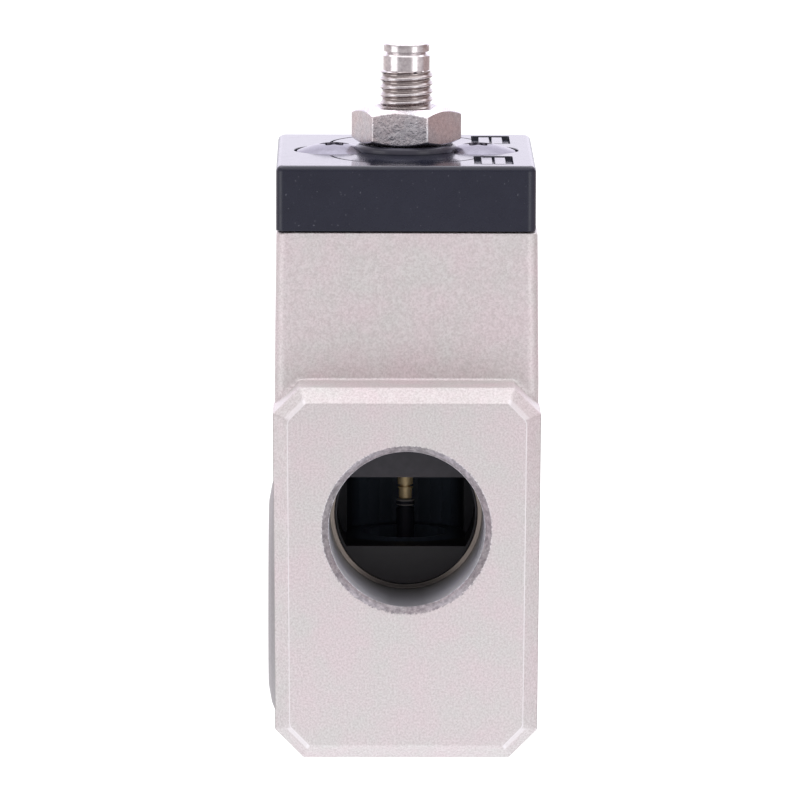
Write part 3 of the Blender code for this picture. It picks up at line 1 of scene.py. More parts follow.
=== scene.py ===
"""Looks of the soft-start valve: finished pieces over the CAD frame, studio light and camera."""

import math

import bmesh
import bpy
from mathutils import Matrix, Vector


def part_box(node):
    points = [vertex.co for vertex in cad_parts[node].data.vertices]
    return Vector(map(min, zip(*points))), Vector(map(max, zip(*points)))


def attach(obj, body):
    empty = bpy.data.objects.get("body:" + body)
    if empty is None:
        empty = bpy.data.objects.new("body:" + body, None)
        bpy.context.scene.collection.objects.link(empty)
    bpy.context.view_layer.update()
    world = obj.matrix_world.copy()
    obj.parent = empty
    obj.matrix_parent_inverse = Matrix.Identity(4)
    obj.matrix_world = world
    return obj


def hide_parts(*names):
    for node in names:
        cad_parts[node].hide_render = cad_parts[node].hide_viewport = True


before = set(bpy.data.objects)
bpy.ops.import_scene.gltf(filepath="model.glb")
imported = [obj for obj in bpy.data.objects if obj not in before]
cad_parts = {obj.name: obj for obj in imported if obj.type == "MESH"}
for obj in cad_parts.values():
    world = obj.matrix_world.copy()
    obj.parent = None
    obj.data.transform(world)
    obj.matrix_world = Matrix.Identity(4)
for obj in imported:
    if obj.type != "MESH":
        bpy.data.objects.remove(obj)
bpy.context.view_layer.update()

MM = 0.001
SIDES = 96

# Corners and levels of the CAD nodes, in metres
BODY_LOW, BODY_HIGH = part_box("valve_body")
COVER_LOW, COVER_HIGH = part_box("top_cover")
SPINDLE_LOW, SPINDLE_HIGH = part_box("adjusting_spindle")
NUT_LOW, NUT_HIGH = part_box("lock_nut")
SCREW_LOW, SCREW_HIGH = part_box("cover_screw_right")
CAGE_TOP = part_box("valve_cage")[1][2]
GAUGE_LOW, GAUGE_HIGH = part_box("gauge_plug")
INSERT_LOW, INSERT_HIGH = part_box("outlet_insert")
GASKET_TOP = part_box("cover_gasket")[1][2]
GAP = 0.3 * MM

# Housing, in metres as in the CAD
FACE_Y = BODY_HIGH[1]
BODY_TOP = BODY_HIGH[2]
HALF_DEPTH = 27.5 * MM
HALF_WIDTH_TOP = 24.35 * MM
HALF_WIDTH_WAIST = 24.65 * MM
HALF_WIDTH_FOOT = 24.2 * MM
WAIST_LEVEL = 69.0 * MM
FOOT_CUT = 5.3 * MM
FLANGE_TOP = 69.7 * MM
FLANGE_HALF_TOP = BODY_HIGH[0]
FLANGE_HALF_FOOT = 24.4 * MM
FLANGE_TOP_CUT = 5.0 * MM
FLANGE_ROOT = 23.5 * MM
FLANGE_BEVEL = 2.7 * MM
PORT_LEVEL = (INSERT_LOW[2] + INSERT_HIGH[2]) / 2
PORT_RADIUS = 14.5 * MM
PORT_INNER_RADIUS = 13.45 * MM
PORT_WALL_Y = 18.8 * MM
PORT_SHOULDER_Y = 19.8 * MM
RIM_CHAMFER = 1.3 * MM
SLOT_HALF_HEIGHT = 6.55 * MM
SLOT_LEVEL = PORT_LEVEL + 0.35 * MM
SLOT_LINING = 0.4 * MM
PAD_RADIUS = 23.0 * MM
PAD_LEVEL = (GAUGE_LOW[2] + GAUGE_HIGH[2]) / 2

# Cover, screws, spindle and nut
SCREW_X = 13.6 * MM
SCREW_HOLE_RADIUS = 4.5 * MM
COVER_SHIFT = -0.2 * MM
WINDOW_X = 16.2 * MM
WINDOW_Y = 17.2 * MM
THREAD_PITCH = 1.5 * MM
THREAD_DEPTH = 0.45 * MM
THREAD_RADIUS = 5.0 * MM
THREAD_PHASE = 0.61
THREAD_FOOT = GASKET_TOP
THREAD_TOP = SPINDLE_HIGH[2] - 5.0 * MM
NUT_FLATS = 18.3 * MM
NUT_TURN = math.radians(-8.4)


def levels(node, gap=0.0):
    """Lower and upper level of a CAD node with a gap beyond both, in millimetres."""
    low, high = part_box(node)
    return (low[2] - gap) / MM, (high[2] + gap) / MM


def polar(radius, angle):
    """The (x, y) point at a distance and an angle from the axis."""
    return radius * math.cos(angle), radius * math.sin(angle)


def circle(radius, sides=SIDES, start=0.0):
    """Points round a circle."""
    return [polar(radius, start + math.tau * index / sides) for index in range(sides)]


def hexagon(flats, turn=0.0):
    """Corners of a hexagon with a width across its flats."""
    return circle(flats / math.sqrt(3), 6, turn)


def rectangle(half_x, half_y):
    """Corners of a rectangle, counter-clockwise."""
    return [(half_x, -half_y), (half_x, half_y), (-half_x, half_y), (-half_x, -half_y)]


def rounded(points, steps=4, closed=True):
    """Replace each (x, y, radius) corner by an arc. An (x, y) corner stays sharp."""
    path = []
    count = len(points)
    for index, (x, y, *edge) in enumerate(points):
        end = not closed and index in (0, count - 1)
        if end or not edge or edge[0] <= 0.0:
            path.append((x, y))
            continue
        here = Vector((x, y))
        before = Vector(points[index - 1][:2]) - here
        after = Vector(points[(index + 1) % count][:2]) - here
        half = before.angle(after) / 2
        reach = min(edge[0] / math.tan(half), before.length * 0.49, after.length * 0.49)
        radius = reach * math.tan(half)
        middle = (before.normalized() + after.normalized()).normalized()
        centre = here + middle * (radius / math.sin(half))
        start = here + before.normalized() * reach - centre
        sweep = start.angle_signed(here + after.normalized() * reach - centre)
        for step in range(steps + 1):
            point = centre + Matrix.Rotation(-sweep * step / steps, 2) @ start
            path.append((point.x, point.y))
    return path


def inset(points, distance):
    """Move each side of a closed counter-clockwise (x, y) outline inwards."""
    path = []
    count = len(points)
    for index in range(count):
        here = Vector(points[index])
        into = (here - Vector(points[index - 1])).normalized()
        out = (Vector(points[(index + 1) % count]) - here).normalized()
        normal_in = Vector((-into.y, into.x))
        normal_out = Vector((-out.y, out.x))
        middle = (normal_in + normal_out).normalized()
        path.append(here + middle * (distance / middle.dot(normal_in)))
    return [(point.x, point.y) for point in path]


def loft(loops, caps=True):
    """Join loops of equally many points into a closed skin."""
    skin = bmesh.new()
    rows = [[skin.verts.new(point) for point in loop] for loop in loops]
    count = len(rows[0])
    for low, high in zip(rows, rows[1:]):
        for index in range(count):
            after = (index + 1) % count
            skin.faces.new((low[index], low[after], high[after], high[index]))
    if caps:
        skin.faces.new(rows[0][::-1])
        skin.faces.new(rows[-1])
    return skin


def lathe(profile, sides=SIDES):
    """Turn (radius, height) points about Z. A profile off the axis becomes a ring."""
    skin = bmesh.new()
    rows = []
    for radius, height in profile:
        outline = circle(radius, sides) if radius > 1e-9 else [(0.0, 0.0)]
        rows.append([skin.verts.new((x, y, height)) for x, y in outline])
    pairs = list(zip(rows, rows[1:]))
    if len(rows[0]) > 1:
        pairs.append((rows[-1], rows[0]))
    for low, high in pairs:
        for index in range(sides):
            after = (index + 1) % sides
            corners = [low[index % len(low)], low[after % len(low)]]
            corners += [high[after % len(high)], high[index % len(high)]]
            unique = list(dict.fromkeys(corners))
            if len(unique) > 2:
                skin.faces.new(unique)
    return skin


def turned(points, sides=SIDES, steps=4):
    """Turn (radius, level) or (radius, level, edge radius) points, in millimetres, about Z."""
    corners = [tuple(value * MM for value in point) for point in points]
    return lathe(rounded(corners, steps, closed=corners[0][0] > 0.0), sides)


def prism(outline, foot, top):
    """Extrude an (x, y) outline from one height to another."""
    return loft([[(x, y, foot) for x, y in outline], [(x, y, top) for x, y in outline]])


def along_y(shape, side, level=PORT_LEVEL):
    """Lay a mesh built upwards so that +Z points out of a port."""
    turn = Matrix(((1, 0, 0), (0, 0, side), (0, 1, 0))).to_4x4()
    bmesh.ops.transform(shape, matrix=Matrix.Translation((0, 0, level)) @ turn, verts=shape.verts)
    return shape


def along_x(shape, side=-1, level=PAD_LEVEL):
    """Lay a mesh built upwards so that +Z points out of the gauge pad or the other side."""
    turn = Matrix.Translation((0, 0, level)) @ Matrix.Rotation(side * math.pi / 2, 4, "Y")
    bmesh.ops.transform(shape, matrix=turn, verts=shape.verts)
    return shape


def moved(shape, x=0.0, y=0.0):
    """Move a whole mesh."""
    bmesh.ops.translate(shape, verts=shape.verts, vec=(x, y, 0.0))
    return shape


def new_object(name, shape):
    """Link a bmesh as an object with outward normals."""
    bmesh.ops.remove_doubles(shape, verts=shape.verts, dist=1e-7)
    bmesh.ops.recalc_face_normals(shape, faces=shape.faces)
    mesh = bpy.data.meshes.new(name)
    shape.to_mesh(mesh)
    shape.free()
    thing = bpy.data.objects.new(name, mesh)
    bpy.context.scene.collection.objects.link(thing)
    return thing


def apply_modifiers(thing):
    """Keep what an object's modifiers make of its mesh, and drop them."""
    graph = bpy.context.evaluated_depsgraph_get()
    result = bpy.data.meshes.new_from_object(thing.evaluated_get(graph))
    thing.modifiers.clear()
    thing.data = result


def carved(name, shape, steps):
    """Make an object that is joined to or cut by helper shapes, and keep only the result."""
    thing = new_object(name, shape)
    helpers = []
    for number, (operation, shape) in enumerate(steps):
        tool = new_object("%s_tool_%d" % (thing.name, number), shape)
        helpers.append(tool)
        modifier = thing.modifiers.new("step_%d" % number, "BOOLEAN")
        modifier.operation = operation
        modifier.solver = "EXACT"
        modifier.object = tool
    apply_modifiers(thing)
    for tool in helpers:
        bpy.data.objects.remove(tool, do_unlink=True)
    return thing


def dressed(thing, finish, body, node, angle=32.0):
    """Give a piece its finish, its body and the CAD node that it stands for."""
    thing.data.materials.clear()
    thing.data.materials.append(MATERIALS[finish])
    thing.data.shade_smooth()
    thing.data.set_sharp_from_angle(angle=math.radians(angle))
    thing.modifiers.new("even_shading", "WEIGHTED_NORMAL").keep_sharp = True
    apply_modifiers(thing)
    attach(thing, body)
    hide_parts(node)


# Housing


def flange_corners():
    """The flange's outline in (x, z), counter-clockwise from its lower right cut."""
    right = [
        (FLANGE_HALF_FOOT - FOOT_CUT, 0.0),
        (FLANGE_HALF_FOOT, FOOT_CUT),
        (FLANGE_HALF_TOP, FLANGE_TOP - FLANGE_TOP_CUT),
        (FLANGE_HALF_TOP - FLANGE_TOP_CUT, FLANGE_TOP),
    ]
    return right + [(-x, z) for x, z in reversed(right)]


def flange_shape(side):
    """A port flange whose face edges and cut corners are softly rounded."""
    outer_radius, inner_radius = 0.7 * MM, 1.6 * MM
    profile = [(0.0, FLANGE_ROOT), (0.0, FACE_Y - FLANGE_BEVEL, 0.7 * MM)]
    profile += [(FLANGE_BEVEL, FACE_Y, 0.5 * MM), (FLANGE_BEVEL * 2, FACE_Y)]
    loops = []
    for offset, depth in rounded(profile, closed=False):
        share = min(offset / FLANGE_BEVEL, 1.0)
        radius = outer_radius + (inner_radius - outer_radius) * share
        corners = [(x, z, radius) for x, z in inset(flange_corners(), offset)]
        loops.append([(x, side * depth, z) for x, z in rounded(corners, 6)])
    return loft(loops)


def block_half_width(level):
    """Half the width of the drafted block at a level."""
    if level < FOOT_CUT:
        return HALF_WIDTH_FOOT - FOOT_CUT + level
    if level < WAIST_LEVEL:
        share = (level - FOOT_CUT) / (WAIST_LEVEL - FOOT_CUT)
        return HALF_WIDTH_FOOT + (HALF_WIDTH_WAIST - HALF_WIDTH_FOOT) * share
    share = (level - WAIST_LEVEL) / (BODY_TOP - WAIST_LEVEL)
    return HALF_WIDTH_WAIST + (HALF_WIDTH_TOP - HALF_WIDTH_WAIST) * share


def block_shape():
    """The drafted block between the flanges, with a small fillet above each flange."""
    corner, fillet, top_edge = 2.2 * MM, 0.5 * MM, 0.45 * MM
    columns = 56
    levels = [0.0, FOOT_CUT]
    levels += [(10.0 + 5.0 * step) * MM for step in range(11)]
    levels += [(63.0 + 0.15 * step) * MM for step in range(51)]
    levels += [(75.0 + 7.0 * step) * MM for step in range(3)]
    rows = [(level, 0.0) for level in levels]
    for step in range(5):
        x, z = polar(top_edge, math.pi / 2 * step / 4)
        rows.append((BODY_TOP - top_edge + z, top_edge - x))
    loops = []
    for level, narrow in rows:
        flat = block_half_width(level) - narrow - corner
        depth = HALF_DEPTH - narrow
        front = [(-flat + 2 * flat * step / columns, -depth) for step in range(1, columns)]
        back = [(x, -y) for x, y in reversed(front)]
        outline = []
        for turn, edge in ((-90, front), (0, []), (90, back), (180, [])):
            outline += edge
            centre_x = flat if turn in (-90, 0) else -flat
            centre_y = (depth - corner) * (1 if turn in (0, 90) else -1)
            for step in range(9):
                x, y = polar(corner, math.radians(turn + 90 * step / 8))
                outline.append((centre_x + x, centre_y + y))
        loop = []
        for x, y in outline:
            above = level - FLANGE_TOP
            above = max(above, (abs(x) - FLANGE_HALF_TOP + FLANGE_TOP_CUT + above) / math.sqrt(2))
            inward = abs(y) - depth + corner
            if inward > 0.0 and level > 60 * MM and above < fillet:
                gap = max(above, 0.0)
                swell = fillet - math.sqrt(fillet**2 - (fillet - gap) ** 2)
                y += math.copysign(swell * inward / corner, y)
            loop.append((x, y, level))
        loops.append(loop)
    return loft(loops)


def pad_shape():
    """The round gauge pad with its drafted rim."""
    face = -BODY_LOW[0] / MM
    edge = PAD_RADIUS / MM
    profile = [(0, 18), (edge, 18), (edge, 24.4), (edge - 2.2, 25.3, 1), (edge - 5.5, face, 1)]
    return along_x(turned(profile + [(0, face)], 128, 5))


def port_cutter(side):
    """Port recess with a chamfered mouth, drafted wall and shoulder, edges rounded."""
    beyond = FACE_Y + 1.0 * MM
    mouth = PORT_RADIUS + RIM_CHAMFER
    profile = [
        (0.0, PORT_WALL_Y),
        (PORT_INNER_RADIUS, PORT_WALL_Y),
        (PORT_INNER_RADIUS, PORT_SHOULDER_Y, 0.18 * MM),
        (PORT_RADIUS - 0.2 * MM, PORT_SHOULDER_Y, 0.25 * MM),
        (PORT_RADIUS, FACE_Y - RIM_CHAMFER, 0.5 * MM),
        (mouth, FACE_Y - 0.02 * MM, 0.35 * MM),
        (mouth + 3 * MM, FACE_Y + 0.25 * MM),
        (mouth + 3 * MM, beyond),
        (0.0, beyond),
    ]
    return along_y(lathe(rounded(profile, closed=False), 160), side)


def slot_shape(radius, half_height, inner, outer):
    """A slice of the outlet recess between two depths, ends rounded to the radius."""
    limit = math.asin(half_height / radius)
    steps = 16
    right = [polar(radius, limit * (2 * step / steps - 1)) for step in range(steps + 1)]
    left = [(-x, -y) for x, y in right]
    return along_y(prism(right + left, inner, outer), -1, SLOT_LEVEL)


def main_bore():
    """The bores on the valve axis, from the mouth to the needle chamber."""
    shoulder = (CAGE_TOP + GAP) / MM
    chamber_roof = levels("valve_seat")[1] - 1.9
    seat_foot, seat_top = levels("throttle_seat", GAP)
    beyond = BODY_TOP / MM + 1.0
    profile = [(0.0, -1.0), (16.1, -1.0), (15.6, 0.45), (15.6, 2.5), (16.7, 2.5), (16.7, 4.2)]
    profile += [(15.6, 4.2), (15.6, 10.0), (14.0, 10.0), (14.0, 14.5), (17.0, 14.5)]
    profile += [(17.0, chamber_roof), (14.0, chamber_roof), (14.0, shoulder), (13.0, shoulder)]
    profile += [(13.0, seat_foot - 1.0), (3.2, seat_foot - 1.0), (3.2, seat_foot)]
    profile += [(4.3, seat_foot), (4.3, seat_top), (6.0, seat_top), (6.0, beyond), (0.0, beyond)]
    return turned(profile, 64)


def gauge_hole():
    """Spotface and hole in the gauge pad."""
    profile = [(0.0, 14.0), (4.9, 14.0), (4.9, 22.8), (8.0, 22.8), (8.0, 25.65), (8.5, 26.4)]
    return along_x(turned(profile + [(0.0, 26.4)], 64))


def build_housing():
    """The die-cast housing, carved out of rounded forms."""
    slot = slot_shape(
        PORT_INNER_RADIUS, SLOT_HALF_HEIGHT + SLOT_LINING, 4.7 * MM, PORT_SHOULDER_Y - 0.5 * MM
    )
    inlet_pocket = prism(rectangle(9.5 * MM, 9.65 * MM), 22.2 * MM, 31.2 * MM)
    vent = turned([(0, 12), (1, 12), (1, 26), (0, 26)], 24)
    steps = [
        ("UNION", flange_shape(-1)),
        ("UNION", flange_shape(1)),
        ("UNION", pad_shape()),
        ("DIFFERENCE", port_cutter(-1)),
        ("DIFFERENCE", port_cutter(1)),
        ("DIFFERENCE", slot),
        ("DIFFERENCE", moved(inlet_pocket, y=16.65 * MM)),
        ("DIFFERENCE", main_bore()),
        ("DIFFERENCE", gauge_hole()),
        ("DIFFERENCE", along_x(vent, 1, CAGE_TOP + 4.3 * MM)),
    ]
    for side in (-1, 1):
        hole = prism(circle(SCREW_HOLE_RADIUS, 32), SCREW_LOW[2] - MM, BODY_TOP + MM)
        steps.append(("DIFFERENCE", moved(hole, x=side * SCREW_X)))
    return carved("housing_casting", block_shape(), steps)


# Cover and screws


def rounded_block(half_x, half_y, foot, top, corner, rim, foot_rim):
    """A block with rounded upright corners and softened rims."""
    path = rounded(
        [(half_x, foot), (0.0, foot, foot_rim), (0.0, top, rim), (half_x, top)], 6, closed=False
    )
    loops = []
    for narrow, level in path[1:-1]:
        edge = corner - min(narrow, corner * 0.9)
        outline = [(x, y, edge) for x, y in inset(rectangle(half_x, half_y), narrow)]
        loops.append([(x, y, level) for x, y in rounded(outline, 8)])
    return loft(loops)


def cover_groove():
    """The shallow obround groove in the cover's top."""
    radius = 13.9 * MM
    front_centre, back_centre = -8.2 * MM, 11.6 * MM
    width, depth = 0.7 * MM, 0.4 * MM
    top = COVER_HIGH[2]
    steps = 40
    loops = []
    section = ((0.0, 0.5 * MM), (width, 0.5 * MM), (width * 0.8, -depth), (width * 0.2, -depth))
    for grow, rise in section:
        loop = []
        for start, centre in ((math.pi, front_centre), (0.0, back_centre)):
            for step in range(steps + 1):
                x, y = polar(radius + grow, start + math.pi * step / steps)
                loop.append((x, y + centre, top + rise))
        loops.append(loop)
    loops.append(loops[0])
    return loft(loops, caps=False)


def screw_pocket(side):
    """Pocket and hole for a cover screw."""
    foot, top = COVER_LOW[2] / MM - 1, COVER_HIGH[2] / MM
    hole = SCREW_HOLE_RADIUS / MM
    profile = [(0, foot), (hole, foot), (hole, top - 3), (7.55, top - 3), (7.55, top - 0.25)]
    profile += [(7.65, top - 0.08), (7.9, top + 0.05), (7.9, top + 1), (0, top + 1)]
    return moved(turned(profile), x=side * SCREW_X)


def cover_window(side):
    """A shallow rectangular window with drafted walls."""
    corners = rectangle(3.6 * MM, 6.8 * MM)
    loops = []
    for narrow, level in ((0.15, -0.8), (0.0, -0.1), (-0.1, 0.05), (-0.1, 0.5)):
        outline = [(x, y, 0.4 * MM) for x, y in inset(corners, narrow * MM)]
        loops.append([(x, y, COVER_HIGH[2] + level * MM) for x, y in rounded(outline, 4)])
    return moved(loft(loops), x=WINDOW_X, y=side * WINDOW_Y)


def window_block(side, step):
    """A plain raised block in a window."""
    corners = rectangle(1.05 * MM, 5.4 * MM)
    top = COVER_HIGH[2] - 0.1 * MM
    loops = []
    for narrow, level in ((0.0, -1.0), (0.0, -0.1), (0.1, 0.0)):
        loops.append([(x, y, top + level * MM) for x, y in inset(corners, narrow * MM)])
    return moved(loft(loops), x=WINDOW_X + step * 1.25 * MM, y=side * WINDOW_Y)


def build_cover():
    """The black cover with its groove, windows, pockets, spindle hole and boss."""
    half_x, half_y, top = COVER_HIGH
    foot = COVER_LOW[2]
    corner, step_in = 1.8 * MM, 1.7 * MM
    block = rounded_block(half_x, half_y, foot, top, corner, 1.1 * MM, 0.15 * MM)
    gasket = rounded_block(
        half_x - step_in, half_y - step_in, foot - 1 * MM, foot + 1.1 * MM, corner, 0, 0
    )
    low, high = foot / MM - 1, top / MM
    bushing_foot, bushing_top = levels("spindle_bushing", GAP)
    bore = [(0, low), (6.9, low), (6.9, bushing_foot), (7.5, bushing_foot), (7.5, bushing_top)]
    bore += [(5.6, bushing_top), (5.6, high - 0.3), (6.1, high + 0.3), (0, high + 0.3)]
    boss_top = high + 1.35
    boss = [(6.3, high - 0.2), (9.5, high - 0.2), (9.5, boss_top, 1.0), (6.3, boss_top, 0.1)]
    steps = [
        ("DIFFERENCE", cover_groove()),
        ("DIFFERENCE", screw_pocket(-1)),
        ("DIFFERENCE", screw_pocket(1)),
        ("DIFFERENCE", cover_window(-1)),
        ("DIFFERENCE", cover_window(1)),
        ("DIFFERENCE", gasket),
        ("DIFFERENCE", turned(bore)),
    ]
    steps += [("UNION", window_block(side, step)) for side in (-1, 1) for step in (-1, 1)]
    steps.append(("UNION", moved(turned(boss, 128, 6), x=COVER_SHIFT * 0.5)))
    return carved("cover_shell", moved(block, x=COVER_SHIFT), steps)


def build_screw(side, word):
    """A domed cover screw with a six-lobe socket."""
    foot, top = SCREW_LOW[2] / MM, SCREW_HIGH[2] / MM + 0.25
    head = (SCREW_HIGH[0] - SCREW_LOW[0]) / 2 / MM
    head_foot = COVER_HIGH[2] / MM - 2.7
    rim = head_foot + 2.5
    profile = [(0, foot), (3.9, foot), (4.2, foot + 0.6), (4.2, head_foot)]
    profile += [(head, head_foot, 0.2), (head, rim, 0.45)]
    dome_steps = 14
    for step in range(1, dome_steps):
        share = 1 - step / dome_steps
        profile.append((head * share, rim + (top - rim) * (1 - share**2)))
    profile.append((0, top))
    dome = moved(turned(profile), x=side * SCREW_X)
    lobes = []
    for index in range(SIDES):
        angle = math.tau * index / SIDES
        lobes.append(polar(2.4 + 0.4 * math.cos(6 * angle), angle))
    loops = []
    for grow, level in ((1.0, top - 2.4), (1.0, top - 0.35), (1.08, top + 0.3)):
        loops.append([(x * grow * MM, y * grow * MM, level * MM) for x, y in lobes])
    socket = moved(loft(loops), x=side * SCREW_X)
    return carved("screw_" + word, dome, [("DIFFERENCE", socket)])


# Spindle, nut and sealing ring


def thread_rows(end_radius):
    """Rows that climb with the thread, each at one place of its section."""
    crest = THREAD_RADIUS
    root = THREAD_RADIUS - THREAD_DEPTH
    run_out = 0.15 * THREAD_PITCH
    section = [(0.0, root + 0.08 * MM), (0.08, root + 0.02 * MM), (0.2, root)]
    section += [(0.32, root + 0.02 * MM), (0.4, root + 0.08 * MM), (0.54, crest - 0.1 * MM)]
    section += [(0.6, crest - 0.02 * MM), (0.66, crest), (0.74, crest)]
    section += [(0.8, crest - 0.02 * MM), (0.86, crest - 0.1 * MM)]
    rows = []
    for turn in range(-1, int((THREAD_TOP - THREAD_FOOT) / THREAD_PITCH) + 3):
        for share, radius in section:
            row = []
            for index in range(SIDES + 1):
                turns = turn + share + index / SIDES - THREAD_PHASE
                level = THREAD_FOOT + turns * THREAD_PITCH
                fade = min(1.0, max(0.0, (THREAD_TOP - level) / run_out))
                reach = min(radius, end_radius + (crest - end_radius) * fade)
                if not THREAD_FOOT < level < THREAD_TOP:
                    reach = end_radius
                level = min(max(level, THREAD_FOOT), THREAD_TOP)
                row.append((*polar(reach, math.tau * index / SIDES), level))
            rows.append(row)
    return rows


def build_spindle():
    """The spindle: needle, stop groove, cut thread, neck and grooved head."""
    foot, top = SPINDLE_LOW[2] / MM, SPINDLE_HIGH[2] / MM
    stop_foot, stop_top = levels("spindle_stop_ring", GAP)
    thread_foot, thread_top = THREAD_FOOT / MM, THREAD_TOP / MM
    neck, end_radius = 4.45, 4.5
    below = [(0.0, foot), (0.8, foot), (1.9, foot + 4.6), (1.9, stop_foot - 3.85)]
    below += [(4.55, stop_foot - 1.2), (4.55, stop_foot), (3.7, stop_foot), (3.7, stop_top)]
    below += [(5.0, stop_top), (5.0, thread_foot - 1), (end_radius, thread_foot)]
    above = [(neck, thread_top), (neck - 0.02, thread_top + 0.5), (neck, top - 2.3, 0.05)]
    above += [(neck - 0.65, top - 1.65, 0.06), (neck - 0.1, top - 1.45, 0.05)]
    above += [(neck - 0.1, top, 0.25), (3.7, top, 0.1), (2.95, top - 0.6), (0.0, top - 0.6)]

    def plain_rows(profile):
        angles = [math.tau * index / SIDES for index in range(SIDES + 1)]
        return [[(*polar(radius * MM, a), level * MM) for a in angles] for radius, level in profile]

    rows = plain_rows(below) + thread_rows(end_radius * MM)
    rows += plain_rows(rounded(above, closed=False))
    skin = bmesh.new()
    points = [[skin.verts.new(point) for point in row] for row in rows]
    for low, high in zip(points, points[1:]):
        for index in range(SIDES):
            skin.faces.new((low[index], low[index + 1], high[index + 1], high[index]))
    bmesh.ops.remove_doubles(skin, verts=skin.verts, dist=1e-7)
    socket = prism(hexagon(5 * MM), (top - 4) * MM, (top + 1) * MM)
    return carved("spindle_threaded", skin, [("DIFFERENCE", socket)])


def build_nut():
    """Hexagon nut with conical chamfers, soft corners and a countersunk bore."""
    foot, top = NUT_LOW[2] - 0.25 * MM, NUT_HIGH[2] + 0.55 * MM
    corners = rounded([(x, y, 0.7 * MM) for x, y in hexagon(NUT_FLATS, NUT_TURN)], 6)
    outline = []
    for index, (x, y) in enumerate(corners):
        after = corners[(index + 1) % len(corners)]
        on_flat = math.hypot(after[0] - x, after[1] - y) > 2 * MM
        pieces = 10 if on_flat else 1
        for step in range(pieces):
            share = step / pieces
            outline.append((x + (after[0] - x) * share, y + (after[1] - y) * share))
    face_top, slope_top = NUT_FLATS / 2 - 0.85 * MM, math.tan(math.radians(30.5))
    face_foot, slope_foot = NUT_FLATS / 2 - 0.35 * MM, math.tan(math.radians(27))
    soft, bore = 0.09 * MM, 5.3 * MM
    sink_radius, sink_depth = bore + 0.7 * MM, 0.75 * MM
    loops = []

    def ring(radius, level):
        loop = []
        for x, y in outline:
            share = radius / math.hypot(x, y)
            loop.append((x * share, y * share, level))
        loops.append(loop)

    def rim(pull, side):
        loop = []
        face, slope = (face_top, slope_top) if side > 0 else (face_foot, slope_foot)
        for x, y in outline:
            reach = math.hypot(x, y)
            inner = (reach - pull) / reach
            drop = max(0.0, (reach - face) * slope)
            drop = max(0.0, drop + (soft * 1.2 if pull == 0.0 else -pull * slope))
            loop.append((x * inner, y * inner, top - drop if side > 0 else foot + drop))
        loops.append(loop)

    ring(bore, foot + sink_depth)
    ring(sink_radius, foot)
    ring(face_foot, foot)
    rim(soft, -1)
    rim(0.0, -1)
    rim(0.0, 1)
    rim(soft, 1)
    ring(face_top, top)
    ring(sink_radius, top)
    ring(bore, top - sink_depth)
    loops.append(loops[0])
    return new_object("nut_hexagon", loft(loops, caps=False))


def build_nut_ring():
    """The rubber ring under the nut, with an oval section."""
    (_, _, foot), (outer, _, top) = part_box("nut_seal_ring")
    inner = 5.3 * MM
    profile = []
    for across, up in circle(0.5, 24):
        profile.append(
            ((inner + outer) / 2 + (outer - inner) * across, (foot + top) / 2 + (top - foot) * up)
        )
    return new_object("nut_ring_soft", lathe(profile))


# Pieces seen through the ports, the base and the pad


def build_outlet_insert():
    """The black plate on the inner wall of the outlet recess, with the lining of its slot."""
    radius = PORT_INNER_RADIUS - 0.06 * MM
    back, front = PORT_WALL_Y + 0.05 * MM, PORT_SHOULDER_Y - 0.05 * MM
    profile = [(0.0, back), (radius, back), (radius, front, 0.15 * MM), (0.0, front)]
    plate = along_y(lathe(rounded(profile, closed=False), 128), -1)
    lining_height = SLOT_HALF_HEIGHT + SLOT_LINING * 0.9
    lining = slot_shape(radius, lining_height, 4.8 * MM, PORT_WALL_Y + 0.5 * MM)
    slot = slot_shape(radius - SLOT_LINING, SLOT_HALF_HEIGHT, 4 * MM, FACE_Y)
    bore = prism(circle(14.05 * MM, 128), PORT_LEVEL - 10 * MM, PORT_LEVEL + 10 * MM)
    steps = [("UNION", lining), ("DIFFERENCE", slot), ("DIFFERENCE", bore)]
    return carved("outlet_plate", plate, steps)


def build_stem():
    """Brass stem with its rim and groove, from the poppet to the piston."""
    foot, top = levels("piston_stem")
    profile = [(0, foot), (1.25, foot, 0.12), (1.25, foot + 1.9), (1.45, foot + 1.9, 0.06)]
    profile += [(1.45, foot + 2.2, 0.06), (0.8, foot + 2.2), (0.8, foot + 2.6)]
    profile += [(1.45, foot + 2.6, 0.08), (1.45, top - 8.6), (3.0, top - 8.6, 0.1)]
    profile += [(3.0, top - 5.4, 0.1), (1.6, top - 5.4), (1.6, top, 0.1), (0, top)]
    return new_object("stem_brass", turned(profile, 48, 3))


def build_poppet():
    """Poppet with its slim grooved stem."""
    foot, top = levels("poppet")
    disc_top = levels("valve_seat", GAP)[0]
    disc_foot = disc_top - 4.5
    profile = [(0, foot), (2.7, foot, 0.3), (2.7, disc_foot), (9.8, disc_foot, 0.3)]
    profile += [(9.8, disc_top - 1.3), (6.5, disc_top - 1.3), (6.5, disc_top, 0.2)]
    profile += [(4.5, disc_top, 0.5), (1.7, disc_top + 3.8, 0.8), (1.7, top - 1.5, 0.05)]
    profile += [(1.35, top - 1.5), (1.35, top - 1.0), (1.7, top - 1.0, 0.07)]
    profile += [(1.7, top, 0.12), (0, top)]
    return new_object("poppet_body", turned(profile, 64, 3))


